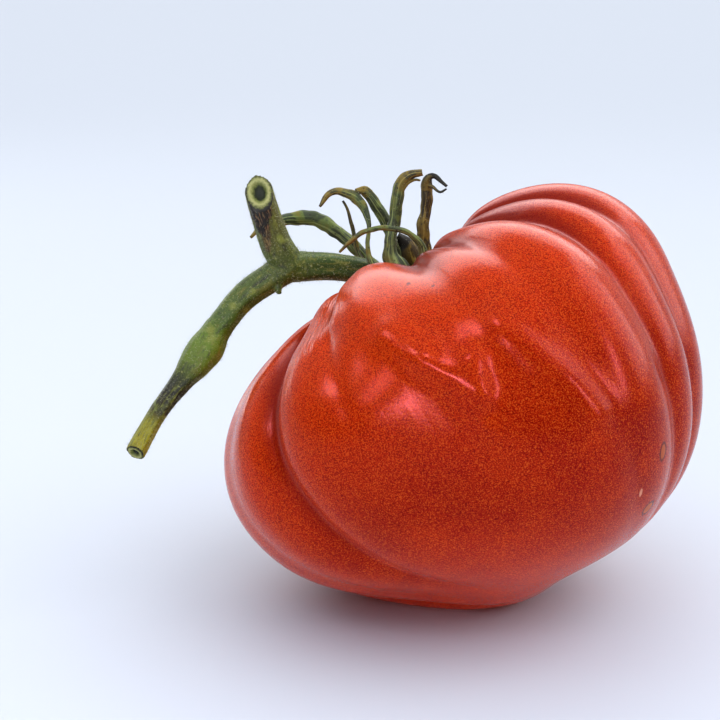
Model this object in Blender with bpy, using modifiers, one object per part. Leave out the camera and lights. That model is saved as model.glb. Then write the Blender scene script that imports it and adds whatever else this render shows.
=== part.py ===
"""Ribbed beefsteak tomato resting on its side, with its calyx and a length of its truss stem.

Sizes are in millimetres until finish() scales the meshes to metres. +Z is up and the viewer's side
is -Y. The origin lies on the flat spot that the tomato rests on, under the foot of its stem.

The fruit is one closed skin: a distance from its middle, given for every direction, and measured in
the fruit's own frame. There, polar 0 is the stem end and azimuth turns about the stem axis, from
the right-hand side (0) through the back (90) and the left (180) to the viewer's side (270).
"""
import math

import bmesh
import bpy
import numpy as np
from mathutils import Matrix, Vector

OBJECT_NAME = "tomato"
MM = 0.001

# ---- fruit: overall form ----
FRUIT_RADIUS = 52.0          # half the width, across the stem axis
STEM_HALF = 39.0             # middle to stem end, before the stem cavity sinks in
BLOSSOM_HALF = 42.5          # middle to blossom end
SQUARENESS = 2.35            # 2 is an ellipse, more is boxier
LEAN_LEFT = 33.0             # degrees that the stem end leans to the left
LEAN_BACK = 21.0             # degrees that it leans back
FRUIT_MIDDLE = (11.4, 2.0, 46.2)
CAVITY_DEPTH, CAVITY_WIDTH, CAVITY_POWER = 15.0, 23.0, 3.0
BLOSSOM_DIMPLE, BLOSSOM_WIDTH = 2.0, 14.0
SKIN_SEGMENTS, SKIN_RINGS = 96, 38

# Broad swellings and hollows: azimuth, polar, width (degrees), height (mm)
SWELLINGS = (
    (198, 82, 36, 8.2),
    (225, 135, 32, -3.5),
    (190, 125, 26, -5.0),
    (300, 90, 45, 1.5),
    (350, 56, 34, 5.0),
    (340, 105, 30, -2.5),
    (275, 140, 35, 2.0),
    (150, 85, 40, 5.0),
    (75, 75, 45, 5.0),
    (112, 115, 28, -5.0),
    (165, 152, 28, 2.5),
    (246, 42, 15, 2.0),
    (305, 38, 14, -1.5),
)
# Creases between the lobes that differ from the plain ones:
# azimuth, depth, width, softness, share left at the equator, polar where it starts to fade
NAMED_CREASES = (
    (195, 3.5, 7.0, 3.0, 0.5, 95),
    (215, 7.0, 7.0, 1.0, 0.6, 88),
    (238, 4.5, 6.0, 1.0, 0.0, 100),
    (272, 6.0, 9.0, 4.0, 0.0, 100),
    (289, 4.0, 6.0, 2.5, 0.35, 100),
    (310, 7.0, 7.0, 1.5, 0.5, 105),
    (329, 7.0, 7.0, 1.5, 0.5, 110),
)
# The plain creases round the right and the back: how many, first azimuth and the step between them
PLAIN_CREASES, PLAIN_FIRST, PLAIN_STEP = 9, -10.0, 23.1
PLAIN_CREASE = (5.5, 7.0, 2.0, 0.6, 110)
FADE_LENGTH = 62.0           # degrees over which a crease runs out towards the blossom end
# Low ridges on the viewer's side: start azimuth and polar, end azimuth and polar, width, height
RIDGES = (
    (243, 50, 266, 87, 5.5, 1.4),
    (266, 86, 268, 70, 4.0, 0.9),
)

# ---- truss stem ----
GAP = 0.35                   # clearance that separate solids keep
SIDES = 3                    # bevel resolution of the round tubes
RECEPTACLE_RADIUS = 4.6      # the knob that carries the sepals, at the foot of the stem cavity
RECEPTACLE_FOOT = 3.0        # its radius where it meets the fruit
RECEPTACLE_HEIGHT = 3.4
RECEPTACLE_LIFT = 1.0        # its foot stands this far above the lowest point of the cavity
# Each arm: points from its free end to the junction or beyond, with the radius at each
UP_ARM = (
    ((-38.4, 3.0, 97.5), 3.1),
    ((-36.3, 4.6, 88.5), 3.15),
    ((-34.1, 5.4, 81.5), 3.4),
    ((-31.0, 6.0, 75.2), 3.8),
)
LEFT_ARM = (
    ((-65.4, -6.0, 35.2), 2.2),
    ((-60.2, -4.0, 44.2), 2.0),
    ((-55.2, -2.0, 50.9), 2.3),
    ((-51.6, -0.8, 55.4), 3.5),
    ((-49.2, 0.1, 58.6), 3.9),
    ((-46.2, 1.8, 63.2), 2.95),
    ((-40.4, 4.0, 69.8), 3.0),
    ((-30.2, 6.1, 76.2), 3.5),
)
PEDICEL = (
    ((-31.6, 5.9, 75.6), 3.3),
    ((-22.4, 8.0, 75.4), 2.6),
    ((-15.0, 9.6, 74.0), 2.5),
    ((-9.0, 10.6, 71.4), 2.9),
)
CUT_SLANT = (-0.12, -0.82, 0.56)     # outward normal of the slanting cut on the up arm
CUT_POINT = (-37.2, 4.0, 92.4)

# ---- sepals: ribbons that start round the receptacle ----
SEPAL_THICKNESS = 0.7
# Name, azimuth of its foot on the receptacle, points, widths at the foot, middle and tip,
# and the direction that its flat side faces
SEPALS = (
    ("sepal_1", 135, ((-11.0, 17.0, 71.6), (-14.2, 17.6, 75.4), (-18.6, 17.8, 79.6), (-23.2, 18.0, 83.0),
                      (-28.2, 18.2, 84.2), (-33.0, 18.0, 83.6), (-37.6, 17.8, 82.0), (-40.0, 17.0, 79.8)),
     (2.0, 2.8, 0.8), (0.3, -1.0, 0.4)),
    ("sepal_2", 100, ((-6.6, 15.6, 73.0), (-8.0, 14.4, 78.0), (-9.0, 12.6, 82.6), (-10.4, 11.8, 86.2),
                      (-12.4, 11.6, 89.0), (-14.4, 11.4, 91.6)),
     (2.4, 2.4, 1.4), (0.3, -1.0, 0.0)),
    ("sepal_3", 235, ((-9.8, 4.8, 73.2), (-13.0, 5.4, 76.8), (-13.8, 6.8, 80.8), (-13.6, 8.0, 84.4),
                      (-14.6, 9.2, 88.0), (-16.6, 9.8, 90.4), (-20.0, 10.0, 91.6), (-22.6, 9.8, 90.8),
                      (-24.2, 9.4, 88.2)),
     (1.2, 1.0, 0.8), (0.2, -1.0, 0.0)),
    ("sepal_4", 300, ((-1.2, 5.2, 76.2), (-2.2, 4.4, 80.6), (-4.6, 4.0, 83.4), (-9.2, 3.6, 84.6),
                      (-13.4, 3.8, 84.2), (-17.0, 4.6, 82.0), (-20.0, 5.6, 79.0)),
     (1.2, 1.0, 0.7), (0.0, -1.0, 0.5)),
    ("sepal_5", 150, ((-13.4, 14.6, 73.4), (-16.0, 14.8, 77.0), (-16.8, 14.2, 81.0), (-17.8, 13.6, 85.6),
                      (-19.2, 13.2, 89.0)),
     (1.0, 0.8, 0.6), (0.3, -1.0, 0.0)),
    ("sepal_6", 265, ((-5.2, 4.4, 73.4), (-8.2, 5.6, 77.4), (-8.8, 7.0, 81.0), (-8.0, 8.0, 85.0),
                      (-7.4, 8.0, 89.4), (-6.6, 8.0, 93.2), (-4.6, 7.8, 95.8), (-2.0, 7.2, 96.2)),
     (3.2, 2.2, 1.2), (0.1, -1.0, 0.0)),
    ("sepal_7", 345, ((-0.2, 9.6, 74.0), (-1.4, 10.8, 79.0), (-1.6, 11.0, 83.2), (-1.0, 11.0, 87.2),
                      (-0.8, 10.6, 91.0), (-0.8, 10.2, 94.4), (0.8, 9.8, 95.0), (3.4, 8.8, 92.8)),
     (1.8, 2.0, 0.8), (-0.1, -1.0, 0.0)),
    ("sepal_8", 60, ((-2.6, 16.4, 71.8), (-3.6, 17.0, 74.8), (-5.0, 16.6, 78.0), (-7.2, 15.4, 80.6)),
     (3.0, 3.2, 1.6), (0.2, -1.0, 0.1)),
)
RIBBON_STEPS = 5             # cross-sections between two neighbouring points of a sepal

# ---- materials: colour (sRGB), roughness ----
SKIN_FINISH = ("tomato_skin", (190, 45, 24), 0.35)
STEM_FINISH = ("truss_stem_green", (70, 80, 28), 0.7)
SEPAL_FINISH = ("sepal_green", (84, 90, 48), 0.75)


def clear_scene():
    for item in list(bpy.data.objects):
        bpy.data.objects.remove(item, do_unlink=True)


def linear(channel):
    value = channel / 255
    return value / 12.92 if value <= 0.04045 else ((value + 0.055) / 1.055) ** 2.4


def material(finish):
    name, colour, roughness = finish
    made = bpy.data.materials.get(name) or bpy.data.materials.new(name)
    made.use_nodes = True
    shader = made.node_tree.nodes["Principled BSDF"]
    shader.inputs["Base Color"].default_value = (*[linear(c) for c in colour], 1.0)
    shader.inputs["Roughness"].default_value = roughness
    shader.inputs["Metallic"].default_value = 0.0
    return made


def new_object(name, mesh, finish, collection):
    made = bpy.data.objects.new(name, mesh)
    mesh.materials.clear()
    mesh.materials.append(material(finish))
    mesh.shade_smooth()
    mesh.set_sharp_from_angle(angle=math.radians(50))
    collection.objects.link(made)
    return made


# ---- the fruit's surface ----
def smooth_step(start, end, value):
    part = np.clip((value - start) / (end - start), 0.0, 1.0)
    return part * part * (3.0 - 2.0 * part)


def direction(azimuth, polar):
    turn, tilt = math.radians(azimuth), math.radians(polar)
    return np.array((math.sin(tilt) * math.cos(turn), math.sin(tilt) * math.sin(turn), math.cos(tilt)))


def degrees_between(directions, axis):
    return np.degrees(np.arccos(np.clip(directions @ axis, -1.0, 1.0)))


def plain_form(polar):
    half = np.where(polar < 90.0, STEM_HALF, BLOSSOM_HALF)
    across = np.abs(np.sin(np.radians(polar))) / FRUIT_RADIUS
    along = np.abs(np.cos(np.radians(polar))) / half
    return (across ** SQUARENESS + along ** SQUARENESS) ** (-1.0 / SQUARENESS)


def swelling(directions, azimuth, polar, width, height):
    away = degrees_between(directions, direction(azimuth, polar))
    return height * np.exp(-(away / width) ** 2)


def crease(azimuths, polars, azimuth, depth, width, softness, equator_share, fade):
    aside = (azimuths - azimuth + 180.0) % 360.0 - 180.0
    profile = np.exp(-(np.sqrt(aside ** 2 + softness ** 2) - softness) / width)
    rise = smooth_step(4.0, 24.0, polars)
    shoulder = 1.0 - (1.0 - equator_share) * smooth_step(35.0, 85.0, polars)
    below = 1.0 - smooth_step(fade, fade + FADE_LENGTH, polars)
    return depth * profile * rise * shoulder * below


def ridge(directions, start, end, width, height):
    normal = np.cross(start, end)
    normal /= np.linalg.norm(normal)
    middle = (start + end) / np.linalg.norm(start + end)
    half = math.degrees(math.acos(float(start @ end))) / 2
    aside = np.degrees(np.arcsin(np.clip(directions @ normal, -1.0, 1.0)))
    along = np.degrees(np.arcsin(np.clip(directions @ np.cross(normal, middle), -1.0, 1.0)))
    past = np.maximum(np.abs(along) - 0.6 * half, 0.0) / (0.5 * half)
    near_side = directions @ middle > 0
    return height * np.exp(-(aside / width) ** 2) * np.exp(-past ** 2) * near_side


def skin_radius(directions):
    polars = np.degrees(np.arccos(np.clip(directions[:, 2], -1.0, 1.0)))
    azimuths = np.degrees(np.arctan2(directions[:, 1], directions[:, 0]))
    radius = plain_form(polars)
    for values in SWELLINGS:
        radius += swelling(directions, *values)
    radius -= CAVITY_DEPTH * np.exp(-(polars / CAVITY_WIDTH) ** CAVITY_POWER)
    radius -= BLOSSOM_DIMPLE * np.exp(-((180.0 - polars) / BLOSSOM_WIDTH) ** 2)
    for values in NAMED_CREASES:
        radius -= crease(azimuths, polars, *values)
    for index in range(PLAIN_CREASES):
        radius -= crease(azimuths, polars, PLAIN_FIRST + PLAIN_STEP * index, *PLAIN_CREASE)
    for azimuth_1, polar_1, azimuth_2, polar_2, width, height in RIDGES:
        start, end = direction(azimuth_1, polar_1), direction(azimuth_2, polar_2)
        radius += ridge(directions, start, end, width, height)
    return radius


def fruit_turn():
    return Matrix.Rotation(-math.radians(LEAN_BACK), 3, "X") @ Matrix.Rotation(-math.radians(LEAN_LEFT), 3, "Y")


def make_fruit(collection):
    shape = bmesh.new()
    bmesh.ops.create_uvsphere(shape, u_segments=SKIN_SEGMENTS, v_segments=SKIN_RINGS, radius=1.0)
    directions = np.array([vertex.co for vertex in shape.verts], dtype=float)
    directions /= np.linalg.norm(directions, axis=1)[:, None]
    places = directions * skin_radius(directions)[:, None]
    places = places @ np.array(fruit_turn()).T + np.array(FRUIT_MIDDLE)
    places[:, 2] = np.maximum(places[:, 2], 0.0)
    for vertex, place in zip(shape.verts, places):
        vertex.co = place
    mesh = bpy.data.meshes.new("fruit")
    shape.to_mesh(mesh)
    shape.free()
    return new_object("fruit", mesh, SKIN_FINISH, collection)


def stem_axis():
    return fruit_turn() @ Vector((0.0, 0.0, 1.0))


def cavity_floor():
    foot = skin_radius(np.array(((0.0, 0.0, 1.0),)))[0]
    return Vector(FRUIT_MIDDLE) + stem_axis() * float(foot)


# ---- the truss stem ----
def tube(name, points):
    curve = bpy.data.curves.new(name, "CURVE")
    curve.dimensions = "3D"
    curve.bevel_depth = 1.0
    curve.bevel_resolution = SIDES
    curve.resolution_u = 4
    curve.use_fill_caps = True
    spline = curve.splines.new("BEZIER")
    spline.bezier_points.add(len(points) - 1)
    for knot, (place, radius) in zip(spline.bezier_points, points):
        knot.co = place
        knot.radius = radius
        knot.handle_left_type = "AUTO"
        knot.handle_right_type = "AUTO"
    drawn = bpy.data.objects.new(name, curve)
    bpy.context.scene.collection.objects.link(drawn)
    bpy.context.view_layer.update()
    mesh = bpy.data.meshes.new_from_object(drawn.evaluated_get(bpy.context.evaluated_depsgraph_get()))
    bpy.data.objects.remove(drawn)
    solid = bmesh.new()
    solid.from_mesh(mesh)
    bmesh.ops.remove_doubles(solid, verts=solid.verts, dist=0.001)
    solid.to_mesh(mesh)
    solid.free()
    return mesh


def cut_flat(mesh, point, normal):
    solid = bmesh.new()
    solid.from_mesh(mesh)
    everything = list(solid.verts) + list(solid.edges) + list(solid.faces)
    cut = bmesh.ops.bisect_plane(solid, geom=everything, plane_co=point, plane_no=normal, clear_outer=True)
    rim = [item for item in cut["geom_cut"] if isinstance(item, bmesh.types.BMEdge)]
    bmesh.ops.contextual_create(solid, geom=rim)
    bmesh.ops.recalc_face_normals(solid, faces=solid.faces)
    solid.to_mesh(mesh)
    solid.free()
    return mesh


def receptacle_place(share):
    """A point on the receptacle's axis, at a share of its height above its foot."""
    return cavity_floor() + stem_axis() * (RECEPTACLE_LIFT + RECEPTACLE_HEIGHT * share)


def receptacle():
    solid = bmesh.new()
    bmesh.ops.create_cone(solid, cap_ends=True, segments=16, radius1=RECEPTACLE_FOOT,
                          radius2=RECEPTACLE_RADIUS, depth=RECEPTACLE_HEIGHT)
    turn = stem_axis().to_track_quat("Z", "Y").to_matrix().to_4x4()
    place = Matrix.Translation(receptacle_place(0.5)) @ turn
    bmesh.ops.transform(solid, matrix=place, verts=solid.verts)
    mesh = bpy.data.meshes.new("receptacle")
    solid.to_mesh(mesh)
    solid.free()
    return mesh


def make_stem(collection, cutters):
    pieces = [cut_flat(tube("up_arm", UP_ARM), Vector(CUT_POINT), Vector(CUT_SLANT).normalized()),
              tube("left_arm", LEFT_ARM)]
    pedicel = PEDICEL + ((tuple(receptacle_place(1.0)), 2.9), (tuple(receptacle_place(0.7)), 2.6))
    pieces += [tube("pedicel", pedicel), receptacle()]
    stem = new_object("truss_stem", pieces[0], STEM_FINISH, collection)
    for index, mesh in enumerate(pieces[1:]):
        part = bpy.data.objects.new(f"stem_piece_{index}", mesh)
        part.hide_render = True
        part.display_type = "WIRE"
        cutters.objects.link(part)
        union = stem.modifiers.new(f"join_{index}", "BOOLEAN")
        union.operation = "UNION"
        union.solver = "EXACT"
        union.object = part
    return stem


# ---- the sepals ----
def smooth_path(points, steps):
    """A rounded route through the points, as a Catmull-Rom curve."""
    ends = [points[0] * 2 - points[1]] + points + [points[-1] * 2 - points[-2]]
    route = []
    for index in range(len(points) - 1):
        p0, p1, p2, p3 = ends[index:index + 4]
        for step in range(steps):
            t = step / steps
            place = p1 * 2 + (p2 - p0) * t + (p0 * 2 - p1 * 5 + p2 * 4 - p3) * t ** 2
            place += (p1 * 3 - p0 - p2 * 3 + p3) * t ** 3
            route.append(place * 0.5)
    route.append(points[-1])
    return route


def clear_of_skin(place, clearance):
    """The same place, moved out from the fruit's middle where it would be too near the skin."""
    middle = Vector(FRUIT_MIDDLE)
    local = fruit_turn().transposed() @ (place - middle)
    outward = local.normalized()
    nearest = float(skin_radius(np.array((outward,)))[0]) + clearance
    return middle + (place - middle).normalized() * max(local.length, nearest)


def ribbon_width(share, widths):
    foot, middle, tip = widths
    if share < 0.5:
        return foot + (middle - foot) * share * 2
    return middle + (tip - middle) * (share * 2 - 1)


def make_sepal(name, azimuth, points, widths, facing, collection):
    around = fruit_turn() @ Vector(direction(azimuth, 90.0))
    foot = receptacle_place(0.7) + around * (RECEPTACLE_RADIUS + GAP + SEPAL_THICKNESS)
    route = smooth_path([foot] + [Vector(point) for point in points], RIBBON_STEPS)
    route = [clear_of_skin(place, max(widths) / 2 + GAP) for place in route]
    shape = bmesh.new()
    rows = []
    for index, place in enumerate(route):
        ahead = route[min(index + 1, len(route) - 1)] - route[max(index - 1, 0)]
        across = ahead.cross(Vector(facing)).normalized()
        half = ribbon_width(index / (len(route) - 1), widths) / 2
        rows.append([shape.verts.new(place + across * half * step) for step in (-1, 0, 1)])
    for first, second in zip(rows, rows[1:]):
        for column in range(2):
            shape.faces.new((first[column], first[column + 1], second[column + 1], second[column]))
    mesh = bpy.data.meshes.new(name)
    shape.to_mesh(mesh)
    shape.free()
    sepal = new_object(name, mesh, SEPAL_FINISH, collection)
    shell = sepal.modifiers.new("thickness", "SOLIDIFY")
    shell.thickness = SEPAL_THICKNESS * MM
    shell.offset = 0.0
    return sepal


def finish(collections):
    """Millimetres to metres, in the meshes themselves."""
    for collection in collections:
        for item in collection.objects:
            item.data.transform(Matrix.Scale(MM, 4))
            item.data.update()


def build():
    clear_scene()
    collection = bpy.data.collections.new(OBJECT_NAME)
    cutters = bpy.data.collections.new("joined_pieces")
    bpy.context.scene.collection.children.link(collection)
    bpy.context.scene.collection.children.link(cutters)
    make_fruit(collection)
    make_stem(collection, cutters)
    for name, azimuth, points, widths, facing in SEPALS:
        make_sepal(name, azimuth, points, widths, facing, collection)
    finish((collection, cutters))
    bpy.context.view_layer.update()


build()
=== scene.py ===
# %% [markdown]
# # A ribbed beefsteak tomato, made in Blender
# The real thing is a fruit grown from many chambers at once, so its skin is gathered into ribs round
# a deep stem cavity. It rests tilted on one small flat spot. Its calyx has dried into curling ribbons,
# and it still holds a length of hairy green truss stem with a fresh slanting cut.
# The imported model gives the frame: every piece below is made in the same place and at the same size.

# %% Load the frame and keep its box
import math

import bmesh
import bpy
import numpy as np
from mathutils import Matrix, Vector, noise
from mathutils.bvhtree import BVHTree


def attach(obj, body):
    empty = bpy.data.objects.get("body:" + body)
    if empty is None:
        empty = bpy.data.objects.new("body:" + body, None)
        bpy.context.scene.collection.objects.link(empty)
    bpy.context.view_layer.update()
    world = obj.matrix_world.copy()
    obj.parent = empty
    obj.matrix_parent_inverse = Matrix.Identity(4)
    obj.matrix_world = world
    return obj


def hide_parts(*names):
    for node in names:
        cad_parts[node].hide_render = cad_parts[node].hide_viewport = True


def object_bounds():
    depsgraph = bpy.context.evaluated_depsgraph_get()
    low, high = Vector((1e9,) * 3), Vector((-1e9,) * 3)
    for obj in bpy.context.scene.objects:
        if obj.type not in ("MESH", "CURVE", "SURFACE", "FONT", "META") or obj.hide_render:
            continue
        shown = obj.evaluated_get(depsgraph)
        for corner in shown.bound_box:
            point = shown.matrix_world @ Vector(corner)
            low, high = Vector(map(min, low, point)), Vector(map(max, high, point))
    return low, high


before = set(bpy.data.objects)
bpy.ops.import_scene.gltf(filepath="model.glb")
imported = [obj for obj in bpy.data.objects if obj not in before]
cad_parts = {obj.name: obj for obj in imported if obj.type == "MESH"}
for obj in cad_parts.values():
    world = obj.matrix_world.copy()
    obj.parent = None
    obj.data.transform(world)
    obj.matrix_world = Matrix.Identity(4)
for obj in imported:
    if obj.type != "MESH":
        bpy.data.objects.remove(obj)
cad_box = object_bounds()
print("CAD box in millimetres:", [[round(1000 * value, 1) for value in corner] for corner in cad_box])

# %% [markdown]
# ## Small helpers
# Lengths are written in millimetres, as a grower would measure them, and multiplied by MM.
# Colours are written as sRGB hex values, which is how a colour picker gives them. Shaders work with
# linear light, so one function converts them.
# A node tree is a list of nodes and links. One function adds a node, sets its properties, and links
# or sets its inputs, counted among the inputs that the node shows. Every tree below is made with it.

# %% Units, colours and nodes
MM = 0.001


def colour(hex_value):
    channels = [int(hex_value[start:start + 2], 16) / 255 for start in (1, 3, 5)]
    return (*[c / 12.92 if c <= 0.04045 else ((c + 0.055) / 1.055) ** 2.4 for c in channels], 1.0)


def shown(sockets, key):
    live = [socket for socket in sockets if socket.enabled]
    return live[key] if isinstance(key, int) else next(socket for socket in live if socket.name == key)


def add(tree, kind, *inputs, named=None, **settings):
    node = tree.nodes.new(kind)
    for name, value in settings.items():
        setattr(node, name, value)
    for key, value in [*enumerate(inputs), *(named or {}).items()]:
        if isinstance(value, bpy.types.Node):
            value = shown(value.outputs, 0)
        if isinstance(value, bpy.types.NodeSocket):
            tree.links.new(value, shown(node.inputs, key))
        elif value is not None:
            shown(node.inputs, key).default_value = value
    return node


def new_group(name, kind, inputs, outputs):
    """A node group with its inputs and outputs, each given as a name, a socket kind and a default."""
    tree = bpy.data.node_groups.new(name, kind)
    for side, sockets in (("INPUT", inputs), ("OUTPUT", outputs)):
        for label, socket_kind, default in sockets:
            made = tree.interface.new_socket(label, in_out=side, socket_type="NodeSocket" + socket_kind)
            if default is not None:
                made.default_value = default
    return tree, tree.nodes.new("NodeGroupInput").outputs


def set_output(tree, *values):
    return add(tree, "NodeGroupOutput", *values)


def placed(name, data):
    """A new object in the scene."""
    made = bpy.data.objects.new(name, data)
    bpy.context.scene.collection.objects.link(made)
    return made


def finished_mesh(name, piece):
    """The evaluated mesh of an object as a plain mesh object, with the old object removed."""
    bpy.context.view_layer.update()
    evaluated = piece.evaluated_get(bpy.context.evaluated_depsgraph_get())
    mesh = bpy.data.meshes.new_from_object(evaluated)
    bpy.data.objects.remove(piece)
    mesh.name = name
    made = placed(name, mesh)
    print(f"{name}: {len(mesh.vertices)} vertices, {len(mesh.polygons)} faces")
    return made


def grown(name, tree, **values):
    """The mesh that a Geometry Nodes tree makes from the given inputs, as a plain mesh object."""
    host = placed(name + "_host", bpy.data.meshes.new(name + "_host"))
    modifier = host.modifiers.new(name, "NODES")
    modifier.node_group = tree
    identifiers = {item.name: item.identifier for item in tree.interface.items_tree
                   if item.in_out == "INPUT"}
    for label, value in values.items():
        modifier[identifiers[label.replace("_", " ")]] = value
    return finished_mesh(name, host)


def keep_in_box(mesh):
    """Moves what a fine surface or a hair adds beyond the CAD box back to the box."""
    places = np.empty(len(mesh.vertices) * 3)
    mesh.vertices.foreach_get("co", places)
    places = places.reshape(-1, 3)
    kept = np.clip(places, cad_box[0], cad_box[1])
    mesh.vertices.foreach_set("co", kept.ravel())
    mesh.update()
    return float(np.abs(kept - places).max())


# %% [markdown]
# ## Camera
# A still life like this is shot with a short telephoto from just above the table. 85 mm on a
# full-frame sensor at about 37 cm fills the square picture with the fruit.

# %% Camera
TARGET = Vector((-15.5, 0.0, 56.0)) * MM
CAMERA_ELEVATION = math.radians(15.0)
CAMERA_DISTANCE = 372 * MM
camera_data = bpy.data.cameras.new("camera")
camera_data.lens = 85.0
camera_data.sensor_width = 36.0
camera_data.clip_start = 0.01
camera = placed("camera", camera_data)
towards_camera = Vector((0.0, -math.cos(CAMERA_ELEVATION), math.sin(CAMERA_ELEVATION)))
camera.location = TARGET + towards_camera * CAMERA_DISTANCE
camera.rotation_euler = (-towards_camera).to_track_quat("-Z", "Y").to_euler()
bpy.context.scene.camera = camera
bpy.context.scene.view_settings.view_transform = "Standard"
bpy.context.scene.view_settings.look = "Medium High Contrast"
print("camera stands", [round(value, 3) for value in camera.location])

# %% [markdown]
# ## The fruit's form: a rule on a sphere
# A tomato grows outwards from its middle, so its skin can be written as one distance for each
# direction. Polar 0 is the stem end, and azimuth turns about the stem: 0 is the right, 90 the back,
# 180 the left and 270 the viewer's side. Geometry Nodes suit this: they move each point of a sphere
# by the same rule, and the rule stays readable and adjustable. Three small groups hold what repeats.
# - A swelling adds a broad rounded bump, or a hollow if its height is negative.
# - A crease is the valley between two lobes. It is deepest on the shoulder and runs out below.
# - A ridge is a low fold of skin along an arc.
# All lengths inside the groups are millimetres and all angles are degrees.

# %% Group: swelling
def direction(azimuth, polar):
    turn, tilt = math.radians(azimuth), math.radians(polar)
    return Vector((math.sin(tilt) * math.cos(turn), math.sin(tilt) * math.sin(turn), math.cos(tilt)))


FIELD = "GeometryNodeTree"
MATH = "ShaderNodeMath"
VECTOR = "ShaderNodeVectorMath"
RANGE = "ShaderNodeMapRange"
MIX = "ShaderNodeMix"

tree, inputs = new_group(
    "Swelling", FIELD,
    [("Direction", "Vector", None), ("Axis", "Vector", None), ("Width", "Float", 30.0),
     ("Height", "Float", 1.0)],
    [("Rise", "Float", None)])
cosine = add(tree, VECTOR, inputs["Direction"], inputs["Axis"], operation="DOT_PRODUCT")
away = add(tree, MATH, add(tree, MATH, cosine.outputs["Value"], operation="ARCCOSINE"),
           operation="DEGREES")
share = add(tree, MATH, away, inputs["Width"], operation="DIVIDE")
square = add(tree, MATH, share, share, operation="MULTIPLY")
bell = add(tree, MATH, add(tree, MATH, square, -1.0, operation="MULTIPLY"), operation="EXPONENT")
set_output(tree, add(tree, MATH, bell, inputs["Height"], operation="MULTIPLY"))
swelling_group = tree
print("group", tree.name, "has", len(tree.nodes), "nodes")

# %% Group: crease
CREASE_FADE_LENGTH = 62.0
tree, inputs = new_group(
    "Crease", FIELD,
    [("Azimuth", "Float", None), ("Polar", "Float", None), ("At azimuth", "Float", 0.0),
     ("Depth", "Float", 5.0), ("Width", "Float", 7.0), ("Softness", "Float", 2.0),
     ("Equator share", "Float", 0.6), ("Fade", "Float", 110.0)],
    [("Depth", "Float", None)])
aside = add(tree, MATH, add(tree, MATH, inputs["Azimuth"], inputs["At azimuth"], operation="SUBTRACT"),
            180.0, -180.0, operation="WRAP")
soft_square = add(tree, MATH, inputs["Softness"], inputs["Softness"], operation="MULTIPLY")
distance = add(tree, MATH, add(tree, MATH, aside, aside, soft_square, operation="MULTIPLY_ADD"),
               operation="SQRT")
steps = add(tree, MATH, add(tree, MATH, inputs["Softness"], distance, operation="SUBTRACT"),
            inputs["Width"], operation="DIVIDE")
profile = add(tree, MATH, steps, operation="EXPONENT")
rise = add(tree, RANGE, inputs["Polar"], 4.0, 24.0, 0.0, 1.0,
           interpolation_type="SMOOTHSTEP")
shoulder = add(tree, RANGE, inputs["Polar"], 35.0, 85.0, 1.0, inputs["Equator share"],
               interpolation_type="SMOOTHSTEP")
fade_end = add(tree, MATH, inputs["Fade"], CREASE_FADE_LENGTH, operation="ADD")
below = add(tree, RANGE, inputs["Polar"], inputs["Fade"], fade_end, 1.0, 0.0,
            interpolation_type="SMOOTHSTEP")
product = add(tree, MATH, profile, inputs["Depth"], operation="MULTIPLY")
for factor in (rise, shoulder, below):
    product = add(tree, MATH, product, factor, operation="MULTIPLY")
set_output(tree, product)
crease_group = tree
print("group", tree.name, "has", len(tree.nodes), "nodes")

# %% Group: ridge
tree, inputs = new_group(
    "Ridge", FIELD,
    [("Direction", "Vector", None), ("Start", "Vector", None), ("End", "Vector", None),
     ("Width", "Float", 5.0), ("Height", "Float", 1.0)],
    [("Rise", "Float", None)])
normal = add(tree, VECTOR, add(tree, VECTOR, inputs["Start"], inputs["End"], operation="CROSS_PRODUCT"),
             operation="NORMALIZE")
middle = add(tree, VECTOR, add(tree, VECTOR, inputs["Start"], inputs["End"], operation="ADD"),
             operation="NORMALIZE")
lengthwise = add(tree, VECTOR, normal, middle, operation="CROSS_PRODUCT")
angles = []
for axis in (normal, lengthwise):
    sine = add(tree, VECTOR, inputs["Direction"], axis, operation="DOT_PRODUCT")
    angle = add(tree, MATH, sine.outputs["Value"], operation="ARCSINE")
    angles.append(add(tree, MATH, angle, operation="DEGREES"))
span = add(tree, VECTOR, inputs["Start"], middle, operation="DOT_PRODUCT")
half = add(tree, MATH, add(tree, MATH, span.outputs["Value"], operation="ARCCOSINE"), operation="DEGREES")
along = add(tree, MATH, angles[1], operation="ABSOLUTE")
past = add(tree, MATH, half, -0.6, along, operation="MULTIPLY_ADD")
past = add(tree, MATH, add(tree, MATH, past, 0.0, operation="MAXIMUM"),
           add(tree, MATH, half, 0.5, operation="MULTIPLY"), operation="DIVIDE")
off = add(tree, MATH, angles[0], inputs["Width"], operation="DIVIDE")
total = add(tree, MATH, off, off, add(tree, MATH, past, past, operation="MULTIPLY"),
            operation="MULTIPLY_ADD")
bell = add(tree, MATH, add(tree, MATH, total, -1.0, operation="MULTIPLY"), operation="EXPONENT")
near = add(tree, VECTOR, inputs["Direction"], middle, operation="DOT_PRODUCT")
near = add(tree, MATH, near.outputs["Value"], 0.0, operation="GREATER_THAN")
height = add(tree, MATH, bell, inputs["Height"], operation="MULTIPLY")
set_output(tree, add(tree, MATH, height, near, operation="MULTIPLY"))
ridge_group = tree
print("group", tree.name, "has", len(tree.nodes), "nodes")

# %% [markdown]
# ## The fruit's form: its own lobes and hollows
# These lists are the fruit's character. A factory model would repeat one rib sixteen times; a real
# beefsteak has a broad smooth lobe, a sharp crease on its left, a knob beside the stem, and ribs that
# crowd together on its far shoulder. So the ribs that differ are named one by one, and only the plain
# ones round the back come from a count and a step.

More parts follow.
